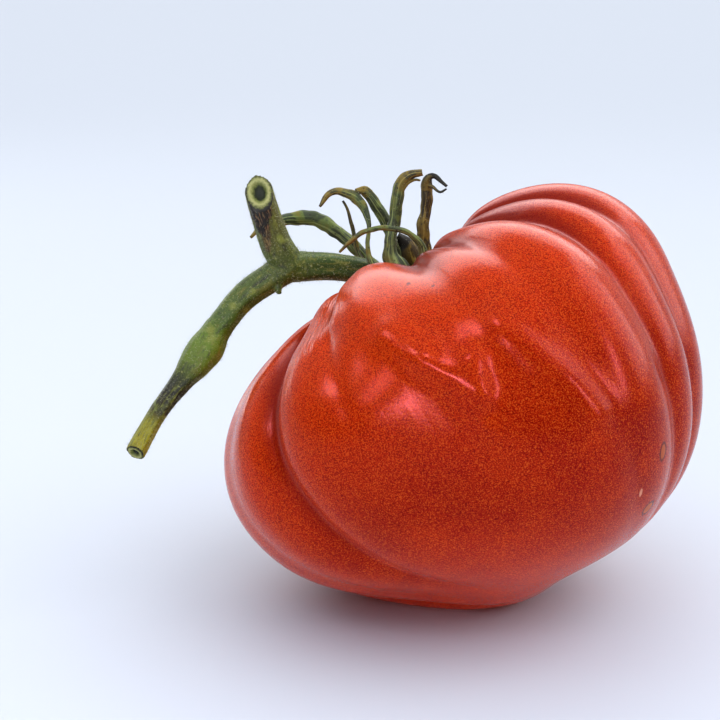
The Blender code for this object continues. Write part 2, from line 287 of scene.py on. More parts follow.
# %% Lobes, creases and ridges
# Azimuth, polar, width, height
SWELLINGS = (
    (198, 82, 36, 8.2), (225, 135, 32, -3.5), (190, 125, 26, -5.0), (300, 90, 45, 1.5),
    (350, 56, 34, 5.0), (340, 105, 30, -2.5), (275, 140, 35, 2.0), (150, 85, 40, 5.0),
    (75, 75, 45, 5.0), (112, 115, 28, -5.0), (165, 152, 28, 2.5), (246, 42, 15, 2.0),
    (305, 38, 14, -1.5),
)
# Azimuth, depth, width, softness, share left at the equator, polar where it starts to fade
NAMED_CREASES = (
    (195, 3.5, 7.0, 3.0, 0.5, 95), (215, 7.0, 7.0, 1.0, 0.6, 88), (238, 4.5, 6.0, 1.0, 0.0, 100),
    (272, 6.0, 9.0, 4.0, 0.0, 100), (289, 4.0, 6.0, 2.5, 0.35, 100), (310, 7.0, 7.0, 1.5, 0.5, 105),
    (329, 7.0, 7.0, 1.5, 0.5, 110),
)
PLAIN_COUNT, PLAIN_FIRST, PLAIN_STEP = 9, -10.0, 23.1
PLAIN_CREASE = (5.5, 7.0, 2.0, 0.6, 110)
# Azimuth and polar of the start and of the end, width, height
RIDGES = (
    (243, 50, 266, 87, 5.5, 1.0), (266, 86, 268, 70, 4.0, 0.6), (253, 66, 259, 79, 3.6, 1.0),
    (258, 77, 265, 92, 3.2, 1.5), (264, 93, 268, 82, 2.8, 1.1), (260, 87, 262, 99, 2.4, 0.7),
    (275, 78, 281, 95, 3.2, 0.9), (281, 95, 285, 110, 3.4, 0.8), (241, 40, 239, 57, 3.2, 0.9),
)
# Narrow hollows that go with the ridges: azimuth, polar, width, height
HOLLOWS = ((229, 49, 7, -1.1), (264, 76, 6, -0.6), (272, 90, 6, -0.5), (286, 90, 8, -0.6))
plain_creases = [(PLAIN_FIRST + PLAIN_STEP * index, *PLAIN_CREASE) for index in range(PLAIN_COUNT)]
creases = [*NAMED_CREASES, *plain_creases]
print(len(SWELLINGS), "swellings,", len(creases), "creases and", len(RIDGES), "ridges")

# %% [markdown]
# ## The fruit's tree
# The tree takes a unit sphere, finds each point's polar angle and azimuth, adds up the rule, turns
# the fruit as it leans, and flattens what would sink into the table. Two attributes go with the mesh
# for the skin's material: the direction of each point in the fruit's own frame, and how deep its
# crease is, which the skin uses for painted shade in the creases. A slow noise makes the form a little
# uneven, and a second one, stretched along the ribs, gives the faint pleats that break up a highlight.

# %% Build the fruit
FRUIT_MIDDLE = np.array((11.4, 2.0, 46.2))
LEAN_LEFT, LEAN_BACK = 33.0, 21.0
fruit_turn = (Matrix.Rotation(-math.radians(LEAN_BACK), 3, "X")
              @ Matrix.Rotation(-math.radians(LEAN_LEFT), 3, "Y"))
FRUIT_SEGMENTS, FRUIT_RINGS = 440, 208
tree, inputs = new_group(
    "Ribbed fruit", FIELD,
    [("Segments", "Int", FRUIT_SEGMENTS), ("Rings", "Int", FRUIT_RINGS), ("Radius", "Float", 52.0),
     ("Stem half", "Float", 39.0), ("Blossom half", "Float", 42.5), ("Squareness", "Float", 2.35),
     ("Cavity depth", "Float", 15.0), ("Cavity width", "Float", 23.0), ("Cavity power", "Float", 3.0),
     ("Blossom dimple", "Float", 2.0), ("Lean left", "Float", LEAN_LEFT), ("Lean back", "Float", LEAN_BACK),
     ("Middle", "Vector", tuple(FRUIT_MIDDLE)), ("Unevenness", "Float", 0.5), ("Pleats", "Float", 0.5),
     ("Skin", "Material", None)],
    [("Geometry", "Geometry", None)])
BLOSSOM_WIDTH = 14.0
sphere = add(tree, "GeometryNodeMeshUVSphere", inputs["Segments"], inputs["Rings"], 1.0)
point_way = add(tree, VECTOR, add(tree, "GeometryNodeInputPosition"), operation="NORMALIZE")
axes = add(tree, "ShaderNodeSeparateXYZ", point_way).outputs
polar = add(tree, MATH, add(tree, MATH, axes["Z"], operation="ARCCOSINE"), operation="DEGREES")
azimuth = add(tree, MATH, add(tree, MATH, axes["Y"], axes["X"], operation="ARCTAN2"), operation="DEGREES")

# the plain squared ellipse, longer towards the blossom end
upper = add(tree, MATH, axes["Z"], 0.0, operation="GREATER_THAN")
half = add(tree, MIX, upper, inputs["Blossom half"], inputs["Stem half"], data_type="FLOAT")
sideways = add(tree, MATH, add(tree, MATH, polar, operation="RADIANS"), operation="SINE")
parts = []
for reach, extent in ((sideways, inputs["Radius"]), (axes["Z"], half)):
    ratio = add(tree, MATH, add(tree, MATH, reach, operation="ABSOLUTE"), extent, operation="DIVIDE")
    parts.append(add(tree, MATH, ratio, inputs["Squareness"], operation="POWER"))
inverse = add(tree, MATH, -1.0, inputs["Squareness"], operation="DIVIDE")
radius = add(tree, MATH, add(tree, MATH, *parts, operation="ADD"), inverse, operation="POWER")

# the stem cavity and the dimple at the blossom end
cavity = add(tree, MATH, add(tree, MATH, polar, inputs["Cavity width"], operation="DIVIDE"),
             inputs["Cavity power"], operation="POWER")
from_blossom = add(tree, MATH, add(tree, MATH, 180.0, polar, operation="SUBTRACT"), BLOSSOM_WIDTH,
                   operation="DIVIDE")
dimple = add(tree, MATH, from_blossom, from_blossom, operation="MULTIPLY")
for steepness, depth in ((cavity, inputs["Cavity depth"]), (dimple, inputs["Blossom dimple"])):
    bell = add(tree, MATH, add(tree, MATH, steepness, -1.0, operation="MULTIPLY"), operation="EXPONENT")
    taken = add(tree, MATH, bell, depth, operation="MULTIPLY")
    radius = add(tree, MATH, radius, taken, operation="SUBTRACT")

for at, tilt, width, height in (*SWELLINGS, *HOLLOWS):
    bump = add(tree, "GeometryNodeGroup", point_way, tuple(direction(at, tilt)), width, height,
               node_tree=swelling_group)
    radius = add(tree, MATH, radius, bump, operation="ADD")
crease_depth = None
for values in creases:
    valley = add(tree, "GeometryNodeGroup", azimuth, polar, *values, node_tree=crease_group)
    crease_depth = add(tree, MATH, crease_depth, valley, operation="ADD") if crease_depth else valley
radius = add(tree, MATH, radius, crease_depth, operation="SUBTRACT")
for at_1, tilt_1, at_2, tilt_2, width, height in RIDGES:
    ends = [tuple(direction(at_1, tilt_1)), tuple(direction(at_2, tilt_2))]
    fold = add(tree, "GeometryNodeGroup", point_way, *ends, width, height, node_tree=ridge_group)
    radius = add(tree, MATH, radius, fold, operation="ADD")

# unevenness, about every 25 mm, and pleats along the ribs, about every 5 mm round the fruit
slow = add(tree, "ShaderNodeTexNoise", point_way, named={"Scale": 2.2, "Detail": 1.0})
around = add(tree, VECTOR, add(tree, "ShaderNodeCombineXYZ", axes["X"], axes["Y"]), operation="NORMALIZE")
lengthways = add(tree, MATH, polar, 0.012, operation="MULTIPLY")
pleat_place = add(tree, VECTOR, add(tree, VECTOR, around, (7.0, 7.0, 7.0), operation="MULTIPLY"),
                  add(tree, "ShaderNodeCombineXYZ", 0.0, 0.0, lengthways), operation="ADD")
fine = add(tree, "ShaderNodeTexNoise", pleat_place, named={"Scale": 1.0, "Detail": 2.5, "Roughness": 0.45})
pleat_start = add(tree, RANGE, polar, 14.0, 40.0, 0.0, 1.0, interpolation_type="SMOOTHSTEP")
pleat_end = add(tree, RANGE, polar, 70.0, 125.0, 1.0, 0.0, interpolation_type="SMOOTHSTEP")
pleats = add(tree, MATH, add(tree, MATH, fine, 0.5, operation="SUBTRACT"), pleat_start,
             operation="MULTIPLY")
pleats = add(tree, MATH, pleats, pleat_end, operation="MULTIPLY")
radius = add(tree, MATH, pleats, inputs["Pleats"], radius, operation="MULTIPLY_ADD")
radius = add(tree, MATH, add(tree, MATH, slow, 0.5, operation="SUBTRACT"), inputs["Unevenness"], radius,
             operation="MULTIPLY_ADD")

# lean, move to the middle, flatten on the table, and turn millimetres into metres
place = add(tree, VECTOR, point_way, named={"Scale": radius}, operation="SCALE")
for lean, axis in ((inputs["Lean left"], "Y_AXIS"), (inputs["Lean back"], "X_AXIS")):
    angle = add(tree, MATH, add(tree, MATH, lean, operation="RADIANS"), -1.0, operation="MULTIPLY")
    place = add(tree, "ShaderNodeVectorRotate", place, named={"Angle": angle}, rotation_type=axis)
place = add(tree, VECTOR, place, inputs["Middle"], operation="ADD")
NO_LIMIT = -10000.0
place = add(tree, VECTOR, place, (NO_LIMIT, NO_LIMIT, 0.0), operation="MAXIMUM")
place = add(tree, VECTOR, place, named={"Scale": MM}, operation="SCALE")
stored = add(tree, "GeometryNodeStoreNamedAttribute", sphere.outputs["Mesh"],
             named={"Name": "fruit_direction", "Value": point_way}, data_type="FLOAT_VECTOR", domain="POINT")
stored = add(tree, "GeometryNodeStoreNamedAttribute", stored,
             named={"Name": "crease_depth", "Value": crease_depth}, data_type="FLOAT", domain="POINT")
moved = add(tree, "GeometryNodeSetPosition", stored, named={"Position": place})
smooth = add(tree, "GeometryNodeSetShadeSmooth", moved, True)
solid = add(tree, "GeometryNodeRealizeInstances", smooth)
set_output(tree, add(tree, "GeometryNodeSetMaterial", solid, named={"Material": inputs["Skin"]}))
fruit_tree = tree
print("the fruit's tree has", len(tree.nodes), "nodes")

# %% [markdown]
# ## Tomato skin
# A ripe tomato has a thin, clear, waxy cuticle over a red and orange layer. The cuticle gives sharp
# but soft-edged highlights and a pale rim where the surface turns away. The layer under it is
# speckled: pale orange dots of about 0.3 mm over crimson, with warmer and cooler clouds over tens of
# millimetres. Just inside the stem cavity the skin is paler and has a ring of cork, and a small cork
# scar marks the blossom end. Light enters a little, so there is some subsurface scattering.
# Colours: crimson, orange-red and a brighter orange for the speckle.

# %% Tomato skin
SKIN_CRIMSON, SKIN_RED, SKIN_WARM = colour("#981408"), colour("#AE220A"), colour("#C83C0A")
# the orange of the shoulders, partly the fruit's own colour and partly painted light on its upper side
SHOULDER_ORANGE_AND_PAINTED_LIGHT = colour("#EE480C")
# a deeper red painted into the creases as shade
CREASE_SHADE_RED = colour("#7A1006")
SPECKLE_DARK, SPECKLE_ORANGE = colour("#6C1004"), colour("#E27428")
CORK, CORK_PALE = colour("#7A4A22"), colour("#B9854A")
SPECKLE_SIZE, CLOUD_SIZE, DRIFT_SIZE = 0.28 * MM, 7.0 * MM, 38.0 * MM
PEEL_SIZE = 0.7 * MM
KNOB_AT, WRINKLES_PER_RADIAN = (230, 50), 48.0
RAMP = "ShaderNodeValToRGB"
NOISE = "ShaderNodeTexNoise"


def new_material(name):
    made = bpy.data.materials.new(name)
    made.use_nodes = True
    shader = made.node_tree.nodes["Principled BSDF"]
    return made, made.node_tree, shader


def set_constants(shader, values):
    for name, value in values.items():
        shader.inputs[name].default_value = value


def set_ramp(node, *stops):
    """Puts a ColorRamp's stops at the given places, with the given colours."""
    ramp = node.color_ramp
    while len(ramp.elements) < len(stops):
        ramp.elements.new(0.5)
    for element, (position, value) in zip(ramp.elements, stops):
        element.position = position
        element.color = value
    return node


def grey(value):
    return (value, value, value, 1.0)


# Small healed cracks on the right-hand rib and pores by the stem: azimuth and polar in degrees in
# the fruit's own frame, half sizes in millimetres, colour
SPOTS = (
    (300, 125, (1.3, 1.4, 2.2), "#5E1404"), (295, 140, (1.7, 1.7, 2.1), "#5E1404"),
    (300, 125, (0.8, 1.0, 1.6), "#B0500E"), (295, 140, (1.2, 1.2, 1.5), "#B85612"),
    (290, 132, (0.35, 0.6, 1.3), "#D89070"), (265, 57, (0.45, 0.5, 0.4), "#6A1408"),
    (270, 62, (0.35, 0.4, 0.3), "#6A1408"),
)
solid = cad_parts["fruit"]
cad_skin = BVHTree.FromPolygons([solid.matrix_world @ corner.co for corner in solid.data.vertices],
                                [side.vertices for side in solid.data.polygons])


def on_the_fruit(at, tilt):
    """Where the line from the fruit's middle in a direction of its own frame leaves the CAD solid."""
    outward = fruit_turn @ Vector(direction(at, tilt))
    start = Vector(FRUIT_MIDDLE) * MM
    return cad_skin.ray_cast(start + outward * 200 * MM, -outward)[0]


skin, tree, shader = new_material("tomato_skin")
where = add(tree, "ShaderNodeTexCoord").outputs["Object"]
direction_in = add(tree, "ShaderNodeAttribute", attribute_name="fruit_direction").outputs["Vector"]
drift = add(tree, NOISE, where, named={"Scale": 1 / DRIFT_SIZE, "Detail": 1.0})
groove_in = add(tree, "ShaderNodeAttribute", attribute_name="crease_depth").outputs["Fac"]
cloud = add(tree, NOISE, where, named={"Scale": 1 / CLOUD_SIZE, "Detail": 3.0, "Roughness": 0.55})
speckle = add(tree, NOISE, where, named={"Scale": 1 / SPECKLE_SIZE, "Detail": 2.0, "Roughness": 0.7})
base = add(tree, MIX, set_ramp(add(tree, RAMP, drift), (0.35, grey(0.0)), (0.65, grey(1.0))),
           SKIN_CRIMSON, SKIN_RED, data_type="RGBA")
ways = add(tree, "ShaderNodeSeparateXYZ", direction_in).outputs
# partly the fruit's own orange shoulders, partly painted light: the skin is painted lighter and more orange
# towards the stem end, which is the upper side
stemward_orange_and_light = add(tree, RANGE, ways["Z"], -0.45, 0.80, 0.0, 1.0, interpolation_type="SMOOTHSTEP")
base = add(tree, MIX, stemward_orange_and_light, base, SHOULDER_ORANGE_AND_PAINTED_LIGHT, data_type="RGBA")
base = add(tree, MIX, set_ramp(add(tree, RAMP, cloud), (0.38, grey(0.0)), (0.72, grey(0.55))),
           base, SKIN_WARM, data_type="RGBA")
base = add(tree, MIX, set_ramp(add(tree, RAMP, speckle), (0.38, grey(0.75)), (0.50, grey(0.0))),
           base, SPECKLE_DARK, data_type="RGBA")
base = add(tree, MIX, set_ramp(add(tree, RAMP, speckle), (0.51, grey(0.0)), (0.66, grey(0.6))),
           base, SPECKLE_ORANGE, data_type="RGBA")
# painted shade: the bottom of a crease is painted a deeper red, where shade falls
crease_shade = add(tree, RANGE, groove_in, 2.6, 5.2, 0.0, 0.75, interpolation_type="SMOOTHSTEP")
base = add(tree, MIX, crease_shade, base, CREASE_SHADE_RED, data_type="RGBA")

# a ring of pale cork under the calyx, and a small brown scar at the blossom end
for start, end, tint in ((0.955, 0.985, CORK_PALE), (-0.990, -0.996, CORK)):
    corky = add(tree, RANGE, ways["Z"], start, end, 0.0, 0.9, interpolation_type="SMOOTHSTEP")
    base = add(tree, MIX, corky, base, tint, data_type="RGBA")


def near_spot(centre, size):
    """1 inside a small lens-shaped spot and 0 outside, with a ragged edge; sizes in millimetres."""
    offset = add(tree, VECTOR, where, tuple(centre), operation="SUBTRACT")
    scaled = add(tree, VECTOR, offset, tuple(1 / (value * MM) for value in size), operation="MULTIPLY")
    reach = add(tree, VECTOR, scaled, operation="LENGTH").outputs["Value"]
    ragged = add(tree, MATH, speckle, 0.5, reach, operation="MULTIPLY_ADD")
    return add(tree, RANGE, ragged, 1.1, 1.4, 1.0, 0.0, interpolation_type="SMOOTHSTEP")


for at, tilt, size, tint in SPOTS:
    base = add(tree, MIX, near_spot(on_the_fruit(at, tilt), size), base, colour(tint), data_type="RGBA")
tree.links.new(shown(base.outputs, 0), shader.inputs["Base Color"])
gloss = add(tree, RANGE, cloud, 0.3, 0.7, 0.18, 0.26)
tree.links.new(gloss.outputs[0], shader.inputs["Roughness"])
peel = add(tree, NOISE, where, named={"Scale": 1 / PEEL_SIZE, "Detail": 2.0})
fine_peel = add(tree, MATH, speckle, 0.4, peel, operation="MULTIPLY_ADD")
bump = add(tree, "ShaderNodeBump", named={"Height": fine_peel, "Strength": 0.35, "Distance": 0.06 * MM})
# wrinkles of about 0.8 mm that run towards the stem, where the skin is gathered at the knob
outward = add(tree, VECTOR, add(tree, "ShaderNodeCombineXYZ", ways["X"], ways["Y"]), operation="NORMALIZE")
folded = add(tree, VECTOR, outward, (WRINKLES_PER_RADIAN,) * 3, operation="MULTIPLY")
stretched = add(tree, MATH, ways["Z"], 5.0, operation="MULTIPLY")
stemward_shift = add(tree, "ShaderNodeCombineXYZ", 0.0, 0.0, stretched)
folded = add(tree, VECTOR, folded, stemward_shift, operation="ADD")
wrinkle = add(tree, NOISE, folded, named={"Scale": 1.0, "Detail": 2.0, "Roughness": 0.5})
at_knob = add(tree, VECTOR, direction_in, tuple(direction(*KNOB_AT)), operation="DISTANCE").outputs["Value"]
at_knob = add(tree, RANGE, at_knob, 0.10, 0.24, 1.0, 0.06, interpolation_type="SMOOTHSTEP")
bump = add(tree, "ShaderNodeBump", named={"Height": add(tree, MATH, wrinkle, at_knob, operation="MULTIPLY"),
           "Strength": 1.0, "Distance": 0.55 * MM, "Normal": bump})
tree.links.new(bump.outputs[0], shader.inputs["Normal"])
set_constants(shader, {
    "IOR": 1.38,
    "Specular Tint": colour("#FF848E"),
    "Sheen Weight": 0.06,
    "Sheen Roughness": 0.35,
    "Sheen Tint": colour("#FFC4C8"),
    "Subsurface Weight": 0.10,
    "Subsurface Radius": (1.0, 0.25, 0.08),
    "Subsurface Scale": 2.5 * MM,
})
print(skin.name, "has", len(tree.nodes), "nodes")

# %% Make the fruit and measure how far its skin lies from the CAD solid
fruit = grown("fruit_skin", fruit_tree, Skin=skin)
moved_by = keep_in_box(fruit.data)
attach(fruit, "root")
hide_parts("fruit")
print(f"clamped to the CAD box by at most {moved_by * 1000:.2f} mm")
gaps = [cad_skin.find_nearest(corner.co)[3] for corner in list(fruit.data.vertices)[::60]]
print(f"skin to CAD solid: mean {1000 * sum(gaps) / len(gaps):.2f} mm, most {1000 * max(gaps):.2f} mm")

# %% [markdown]
# ## Sweeps
# The stem's arms and the sepals are all long things that follow a path. A sweep carries a cross
# section along a smooth curve through a few points. The section must not spin on the way, so each
# ring's frame is carried over from the ring before and only tipped to the new direction.

# %% Routes, frames and lofts
def smooth_route(points, step):
    """Places along a Catmull-Rom curve through rows of numbers, about one step apart."""
    rows = np.array(points, dtype=float)
    rows = np.vstack([2 * rows[0] - rows[1], rows, 2 * rows[-1] - rows[-2]])
    route = []
    for p0, p1, p2, p3 in zip(rows, rows[1:], rows[2:], rows[3:]):
        count = max(2, int(np.linalg.norm((p2 - p1)[:3]) / step))
        for t in np.linspace(0, 1, count, endpoint=False):
            bend = (2 * p0 - 5 * p1 + 4 * p2 - p3) * t ** 2 + (3 * p1 - p0 - 3 * p2 + p3) * t ** 3
            route.append((2 * p1 + (p2 - p0) * t + bend) / 2)
    return np.array([*route, rows[-2]])


def unit(vectors):
    return vectors / np.linalg.norm(vectors, axis=-1, keepdims=True)


def carried_frames(centres):
    """The direction of a route at each place, and two directions across it that don't spin."""
    ahead = unit(np.gradient(centres, axis=0))
    first = np.array((0.0, 1.0, 0.0)) if abs(ahead[0][1]) < 0.9 else np.array((1.0, 0.0, 0.0))
    side, sides = first, []
    for forward in ahead:
        side = unit(side - forward * np.dot(side, forward))
        sides.append(side)
    return ahead, np.array(sides), np.cross(ahead, np.array(sides))


def loft(rings):
    """A closed mesh through rings of the same number of points, with its faces turned outwards."""
    count, around = rings.shape[:2]
    faces = [(row * around + k, row * around + (k + 1) % around, (row + 1) * around + (k + 1) % around,
              (row + 1) * around + k) for row in range(count - 1) for k in range(around)]
    faces += [tuple(range(around))[::-1], tuple((count - 1) * around + k for k in range(around))]
    return rings.reshape(-1, 3), faces


def joined_mesh(name, solids):
    """Lofted solids as one mesh, in metres, with its normals made to point outwards."""
    places, faces = [], []
    for solid_places, solid_faces in solids:
        start = sum(len(rows) for rows in places)
        places.append(solid_places)
        faces += [tuple(start + corner for corner in face) for face in solid_faces]
    mesh = bpy.data.meshes.new(name)
    mesh.from_pydata((np.vstack(places) * MM).tolist(), [], faces)
    shape = bmesh.new()
    shape.from_mesh(mesh)
    bmesh.ops.recalc_face_normals(shape, faces=shape.faces)
    shape.to_mesh(mesh)
    shape.free()
    return mesh


def noise_at(places, scale, seed):
    """Smooth noise from -1 to 1 at rows of places, with its grain size in the same unit."""
    shift = Vector((seed * 17.3, seed * 7.1, seed * 3.7))
    return np.array([noise.noise(Vector(place) / scale + shift) for place in places])


def mesh_places(mesh):
    places = np.empty(len(mesh.vertices) * 3)
    mesh.vertices.foreach_get("co", places)
    return places.reshape(-1, 3)


def store(mesh, name, values):
    values = np.asarray(values, dtype=float)
    kind = "FLOAT_VECTOR" if values.ndim == 2 else "FLOAT"
    layer = mesh.attributes.new(name, kind, "POINT")
    layer.data.foreach_set("vector" if values.ndim == 2 else "value", values.ravel())


# %% [markdown]
# ## The truss stem
# This is one grown piece. The main stem comes down from a slanting cut, swells at a knuckle and runs
# on to a second cut. The fruit's own stalk leaves it sideways and ends in the receptacle. Plant
# joints flow into each other, so the arms are first swept as separate tapered tubes, then merged with
# a voxel remesh and smoothed, which leaves a soft web in each fork. Every point then learns which arm
# it is on, how far along and how far round, from the nearest place on the arms' middle lines. That
# gives the shallow lengthwise ridges of the stem and the places for its colours.

# %% Routes of the arms: places in millimetres, with the radius as the fourth number
UP_ARM = ((-38.4, 3.0, 97.5, 3.1), (-36.3, 4.6, 88.5, 3.15), (-34.1, 5.4, 81.5, 3.4),
          (-31.0, 6.0, 75.2, 3.8))
LEFT_ARM = ((-65.4, -6.0, 35.2, 2.2), (-60.2, -4.0, 44.2, 2.0), (-55.2, -2.0, 50.9, 2.3),
            (-51.6, -0.8, 55.4, 3.5), (-49.2, 0.1, 58.6, 3.9), (-46.2, 1.8, 63.2, 2.95),
            (-40.4, 4.0, 69.8, 3.0), (-30.2, 6.1, 76.2, 3.5))
CUT_POINT = np.array((-37.2, 4.0, 92.4))
CUT_NORMAL = unit(np.array((-0.12, -0.82, 0.56)))
stem_axis = np.array(fruit_turn @ Vector((0.0, 0.0, 1.0)))
skin_tree_mesh = bmesh.new()
skin_tree_mesh.from_mesh(fruit.data)
skin_surface = BVHTree.FromBMesh(skin_tree_mesh)
skin_tree_mesh.free()
above_stem = Vector(FRUIT_MIDDLE + stem_axis * 60) * MM
cavity_floor = np.array(skin_surface.ray_cast(above_stem, -Vector(stem_axis))[0]) / MM
STALK = ((-31.6, 5.9, 75.4, 3.5), (-22.4, 8.0, 75.2, 3.0), (-15.0, 9.6, 73.8, 2.9), (-9.0, 10.6, 71.4, 3.0),
         (*(cavity_floor + stem_axis * 4.4), 2.9), (*(cavity_floor + stem_axis * 3.4), 2.6))
RECEPTACLE = ((1.0, 3.0), (1.9, 3.7), (3.0, 4.4), (4.0, 4.6), (4.5, 3.6))
print("the stem cavity's floor is at", np.round(cavity_floor, 1), "and its axis is", np.round(stem_axis, 2))

# %% Sweep the arms, cut the top, and merge them
ROUND = 28
turns = np.linspace(0, 2 * math.pi, ROUND, endpoint=False)


def tube(route, ripple=0.0):
    """A tube whose section is a circle with a few shallow ribs."""
    centres, radii = route[:, :3], route[:, 3]
    ahead, side, up = carried_frames(centres)
    wide = radii[:, None] * (1 + ripple * np.cos(5 * turns + 0.4)[None, :])
    rings = centres[:, None] + wide[..., None] * (np.cos(turns)[None, :, None] * side[:, None]
                                                  + np.sin(turns)[None, :, None] * up[:, None])
    return loft(rings)


arms = [smooth_route(route, 0.5) for route in (UP_ARM, LEFT_ARM, STALK)]
hub = np.array([(*(cavity_floor + stem_axis * height), width) for height, width in RECEPTACLE])
stub = smooth_route(((-33.2, 4.6, 73.8, 1.3), (-33.4, 2.9, 71.6, 1.0), (-33.0, 2.3, 70.2, 0.55)), 0.3)
up_mesh = joined_mesh("up_arm", [tube(arms[0], 0.02)])


def cut_off(mesh, place, facing):
    """Cuts a closed mesh with a plane, drops what lies on its facing side, and closes the hole."""
    shape = bmesh.new()
    shape.from_mesh(mesh)
    bmesh.ops.bisect_plane(shape, geom=shape.verts[:] + shape.edges[:] + shape.faces[:],
                           plane_co=Vector(place) * MM, plane_no=Vector(facing), clear_outer=True)
    bmesh.ops.holes_fill(shape, edges=[edge for edge in shape.edges if edge.is_boundary])
    shape.to_mesh(mesh)
    shape.free()
    return mesh


END_POINT = arms[1][3, :3]
END_NORMAL = unit(unit(arms[1][0, :3] - arms[1][2, :3]) + np.array((-0.1, -0.85, 0.0)))
merged = joined_mesh("truss_stem", [tube(arms[2], 0.03), tube(hub), tube(stub)])
shape = bmesh.new()
for mesh in (cut_off(up_mesh, CUT_POINT, CUT_NORMAL),
             cut_off(joined_mesh("left_arm", [tube(arms[1], 0.03)]), END_POINT, END_NORMAL), merged):
    shape.from_mesh(mesh)
shape.to_mesh(merged)
shape.free()
stem_host = placed("stem_host", merged)
remesh = stem_host.modifiers.new("merge", "REMESH")
remesh.mode = "VOXEL"
remesh.voxel_size = 0.26 * MM
soften = stem_host.modifiers.new("soften", "SMOOTH")
soften.factor, soften.iterations = 0.5, 6
truss = finished_mesh("truss_stem_skin", stem_host)

# %% Find each point's place on the arms
places = mesh_places(truss.data) / MM
normals = np.empty(len(places) * 3)
truss.data.vertex_normals.foreach_get("vector", normals)
normals = normals.reshape(-1, 3)
gaps, alongs, arounds = [], [], []
for arm in arms:
    centres, radii = arm[:, :3], arm[:, 3]
    lengths = np.concatenate([[0], np.cumsum(np.linalg.norm(np.diff(centres, axis=0), axis=1))])
    nearest = np.concatenate([((part[:, None] - centres[None]) ** 2).sum(2).argmin(1)
                              for part in np.array_split(places, 40)])
    ahead, side, up = carried_frames(centres)
    away = places - centres[nearest]
    gaps.append(np.linalg.norm(away, axis=1) - radii[nearest])
    alongs.append(lengths[nearest] + (away * ahead[nearest]).sum(1))
    arounds.append(np.arctan2((away * up[nearest]).sum(1), (away * side[nearest]).sum(1)))
    print("an arm of", round(float(lengths[-1]), 1), "mm")
BLEND = 0.7
weights = np.exp(-np.clip(np.array(gaps), 0, 12) / BLEND)
weights /= weights.sum(0)
along = (weights * np.array(alongs)).sum(0)
lean = [np.array([np.cos(turn), np.sin(turn)]) for turn in arounds]
strand = np.column_stack([(weights * np.array([pair[0] for pair in lean])).sum(0),
                          (weights * np.array([pair[1] for pair in lean])).sum(0), along / 12])

# the two cut faces: how far out from the middle, from 0 to 1, and 2 on the bark
cut_ratio = np.full(len(places), 2.0)
top_centre = arms[0][((arms[0][:, :3] - CUT_POINT) @ CUT_NORMAL > 0).nonzero()[0][-1], :3]
top_centre = top_centre - CUT_NORMAL * ((top_centre - CUT_POINT) @ CUT_NORMAL)
for arm, centre, facing, depth, width in ((arms[0], top_centre, CUT_NORMAL, 0.35, 3.3),
                                          (arms[1], END_POINT, END_NORMAL, 0.35, 2.15)):
    off = places - centre
    level = off @ facing
    out = np.linalg.norm(off - level[:, None] * facing, axis=1)
    facing_share = normals @ facing
    on_cut = (level > -depth) & (facing_share > 0.75) & (out < 7.0)
    arm_dir = unit(arm[2, :3] - arm[0, :3])
    long_way = unit(arm_dir - facing * (arm_dir @ facing))
    out = np.hypot((off @ long_way) * abs(arm_dir @ facing), off @ np.cross(facing, long_way))
    cut_ratio[on_cut] = (out / width)[on_cut]
    print("points on a cut face:", int(on_cut.sum()),
          "reaching", round(float((out / width)[on_cut].max()), 2))

# %% Ridges, lumps, the scab and the hollow pith
rough = noise_at(places, 1.1, 1)
lumps = noise_at(places, 4.5, 2)
streaks = noise_at(strand * np.array((2.6, 2.6, 1.6)), 1.0, 3)
ribs = sum(w * np.cos(5 * turn + 0.4 + 0.03 * length) for w, turn, length in zip(weights, arounds, alongs))


def ball(centre, size):
    """1 at a place, falling off smoothly over a size in millimetres."""
    return np.exp(-(((places - np.array(centre)) / np.array(size)) ** 2).sum(1))


scab = ball((-37.9, 1.0, 88.4), (3.0, 2.6, 2.8)) + 0.8 * ball((-37.0, 1.0, 84.8), (1.5, 2.0, 2.2))
scab = np.clip(scab * 1.5 + 0.35 * rough * (scab > 0.15), 0, 1)
node_swelling = np.clip(1 - np.abs(alongs[1] - 30) / 9, 0, 1) * weights[1]
relief = 0.10 * ribs + 0.13 * lumps + 0.06 * streaks + 0.03 * rough
relief += scab * (0.12 * rough + 0.10) + node_swelling * 0.18 * noise_at(places, 2.0, 5)
on_bark = cut_ratio > 1.5
relief = np.where(on_bark, relief, 0.0)
hollow = np.where(on_bark, 0.0, np.exp(-(cut_ratio / 0.42) ** 4))
raised = np.where(on_bark, 0.0, np.exp(-((cut_ratio - 0.66) / 0.16) ** 2))
shift = normals * relief[:, None] - (hollow * 1.0 - raised * 0.12)[:, None] * normals
shift += (1 - on_bark)[:, None] * 0.05 * rough[:, None] * normals
truss.data.vertices.foreach_set("co", ((places + shift) * MM).ravel())
bruise = np.clip(1.2 * ball((-35.8, 1.4, 82.5), (1.3, 2.2, 6.0)) + 0.3 * rough, 0, 1)
for name, values in {"weight_left": weights[1], "weight_stalk": weights[2], "along_up": alongs[0],
                     "along_left": alongs[1], "along_stalk": alongs[2], "strand": strand,
                     "cut_ratio": cut_ratio, "scab": scab, "bruise": bruise, "rib": ribs}.items():
    store(truss.data, name, values)
truss.data.shade_smooth()
print(f"clamped by at most {keep_in_box(truss.data) * 1000:.2f} mm")

# %% [markdown]
# ## Green bark
# A young tomato stem is a soft, hairy, slightly ribbed green skin over pale pith. Here it is bruised
# and drying: olive and brown streaks run along it, the swollen knuckle is a brighter yellow-green, the
# stretch below it is nearly black, and its end has faded to yellow. The cut at the top shows a pale ring
# round a hollow, and the dark inside of the hollow is painted shade. The scab under the cut is corky and
# black-brown. The finish is dull and a little waxy: roughness about 0.6. Each arm has its own ramp of
# colours along its length, in millimetres.

# %% Green bark
bark, tree, shader = new_material("green_bark")


def read(name, output="Fac"):
    return add(tree, "ShaderNodeAttribute", attribute_name=name).outputs[output]


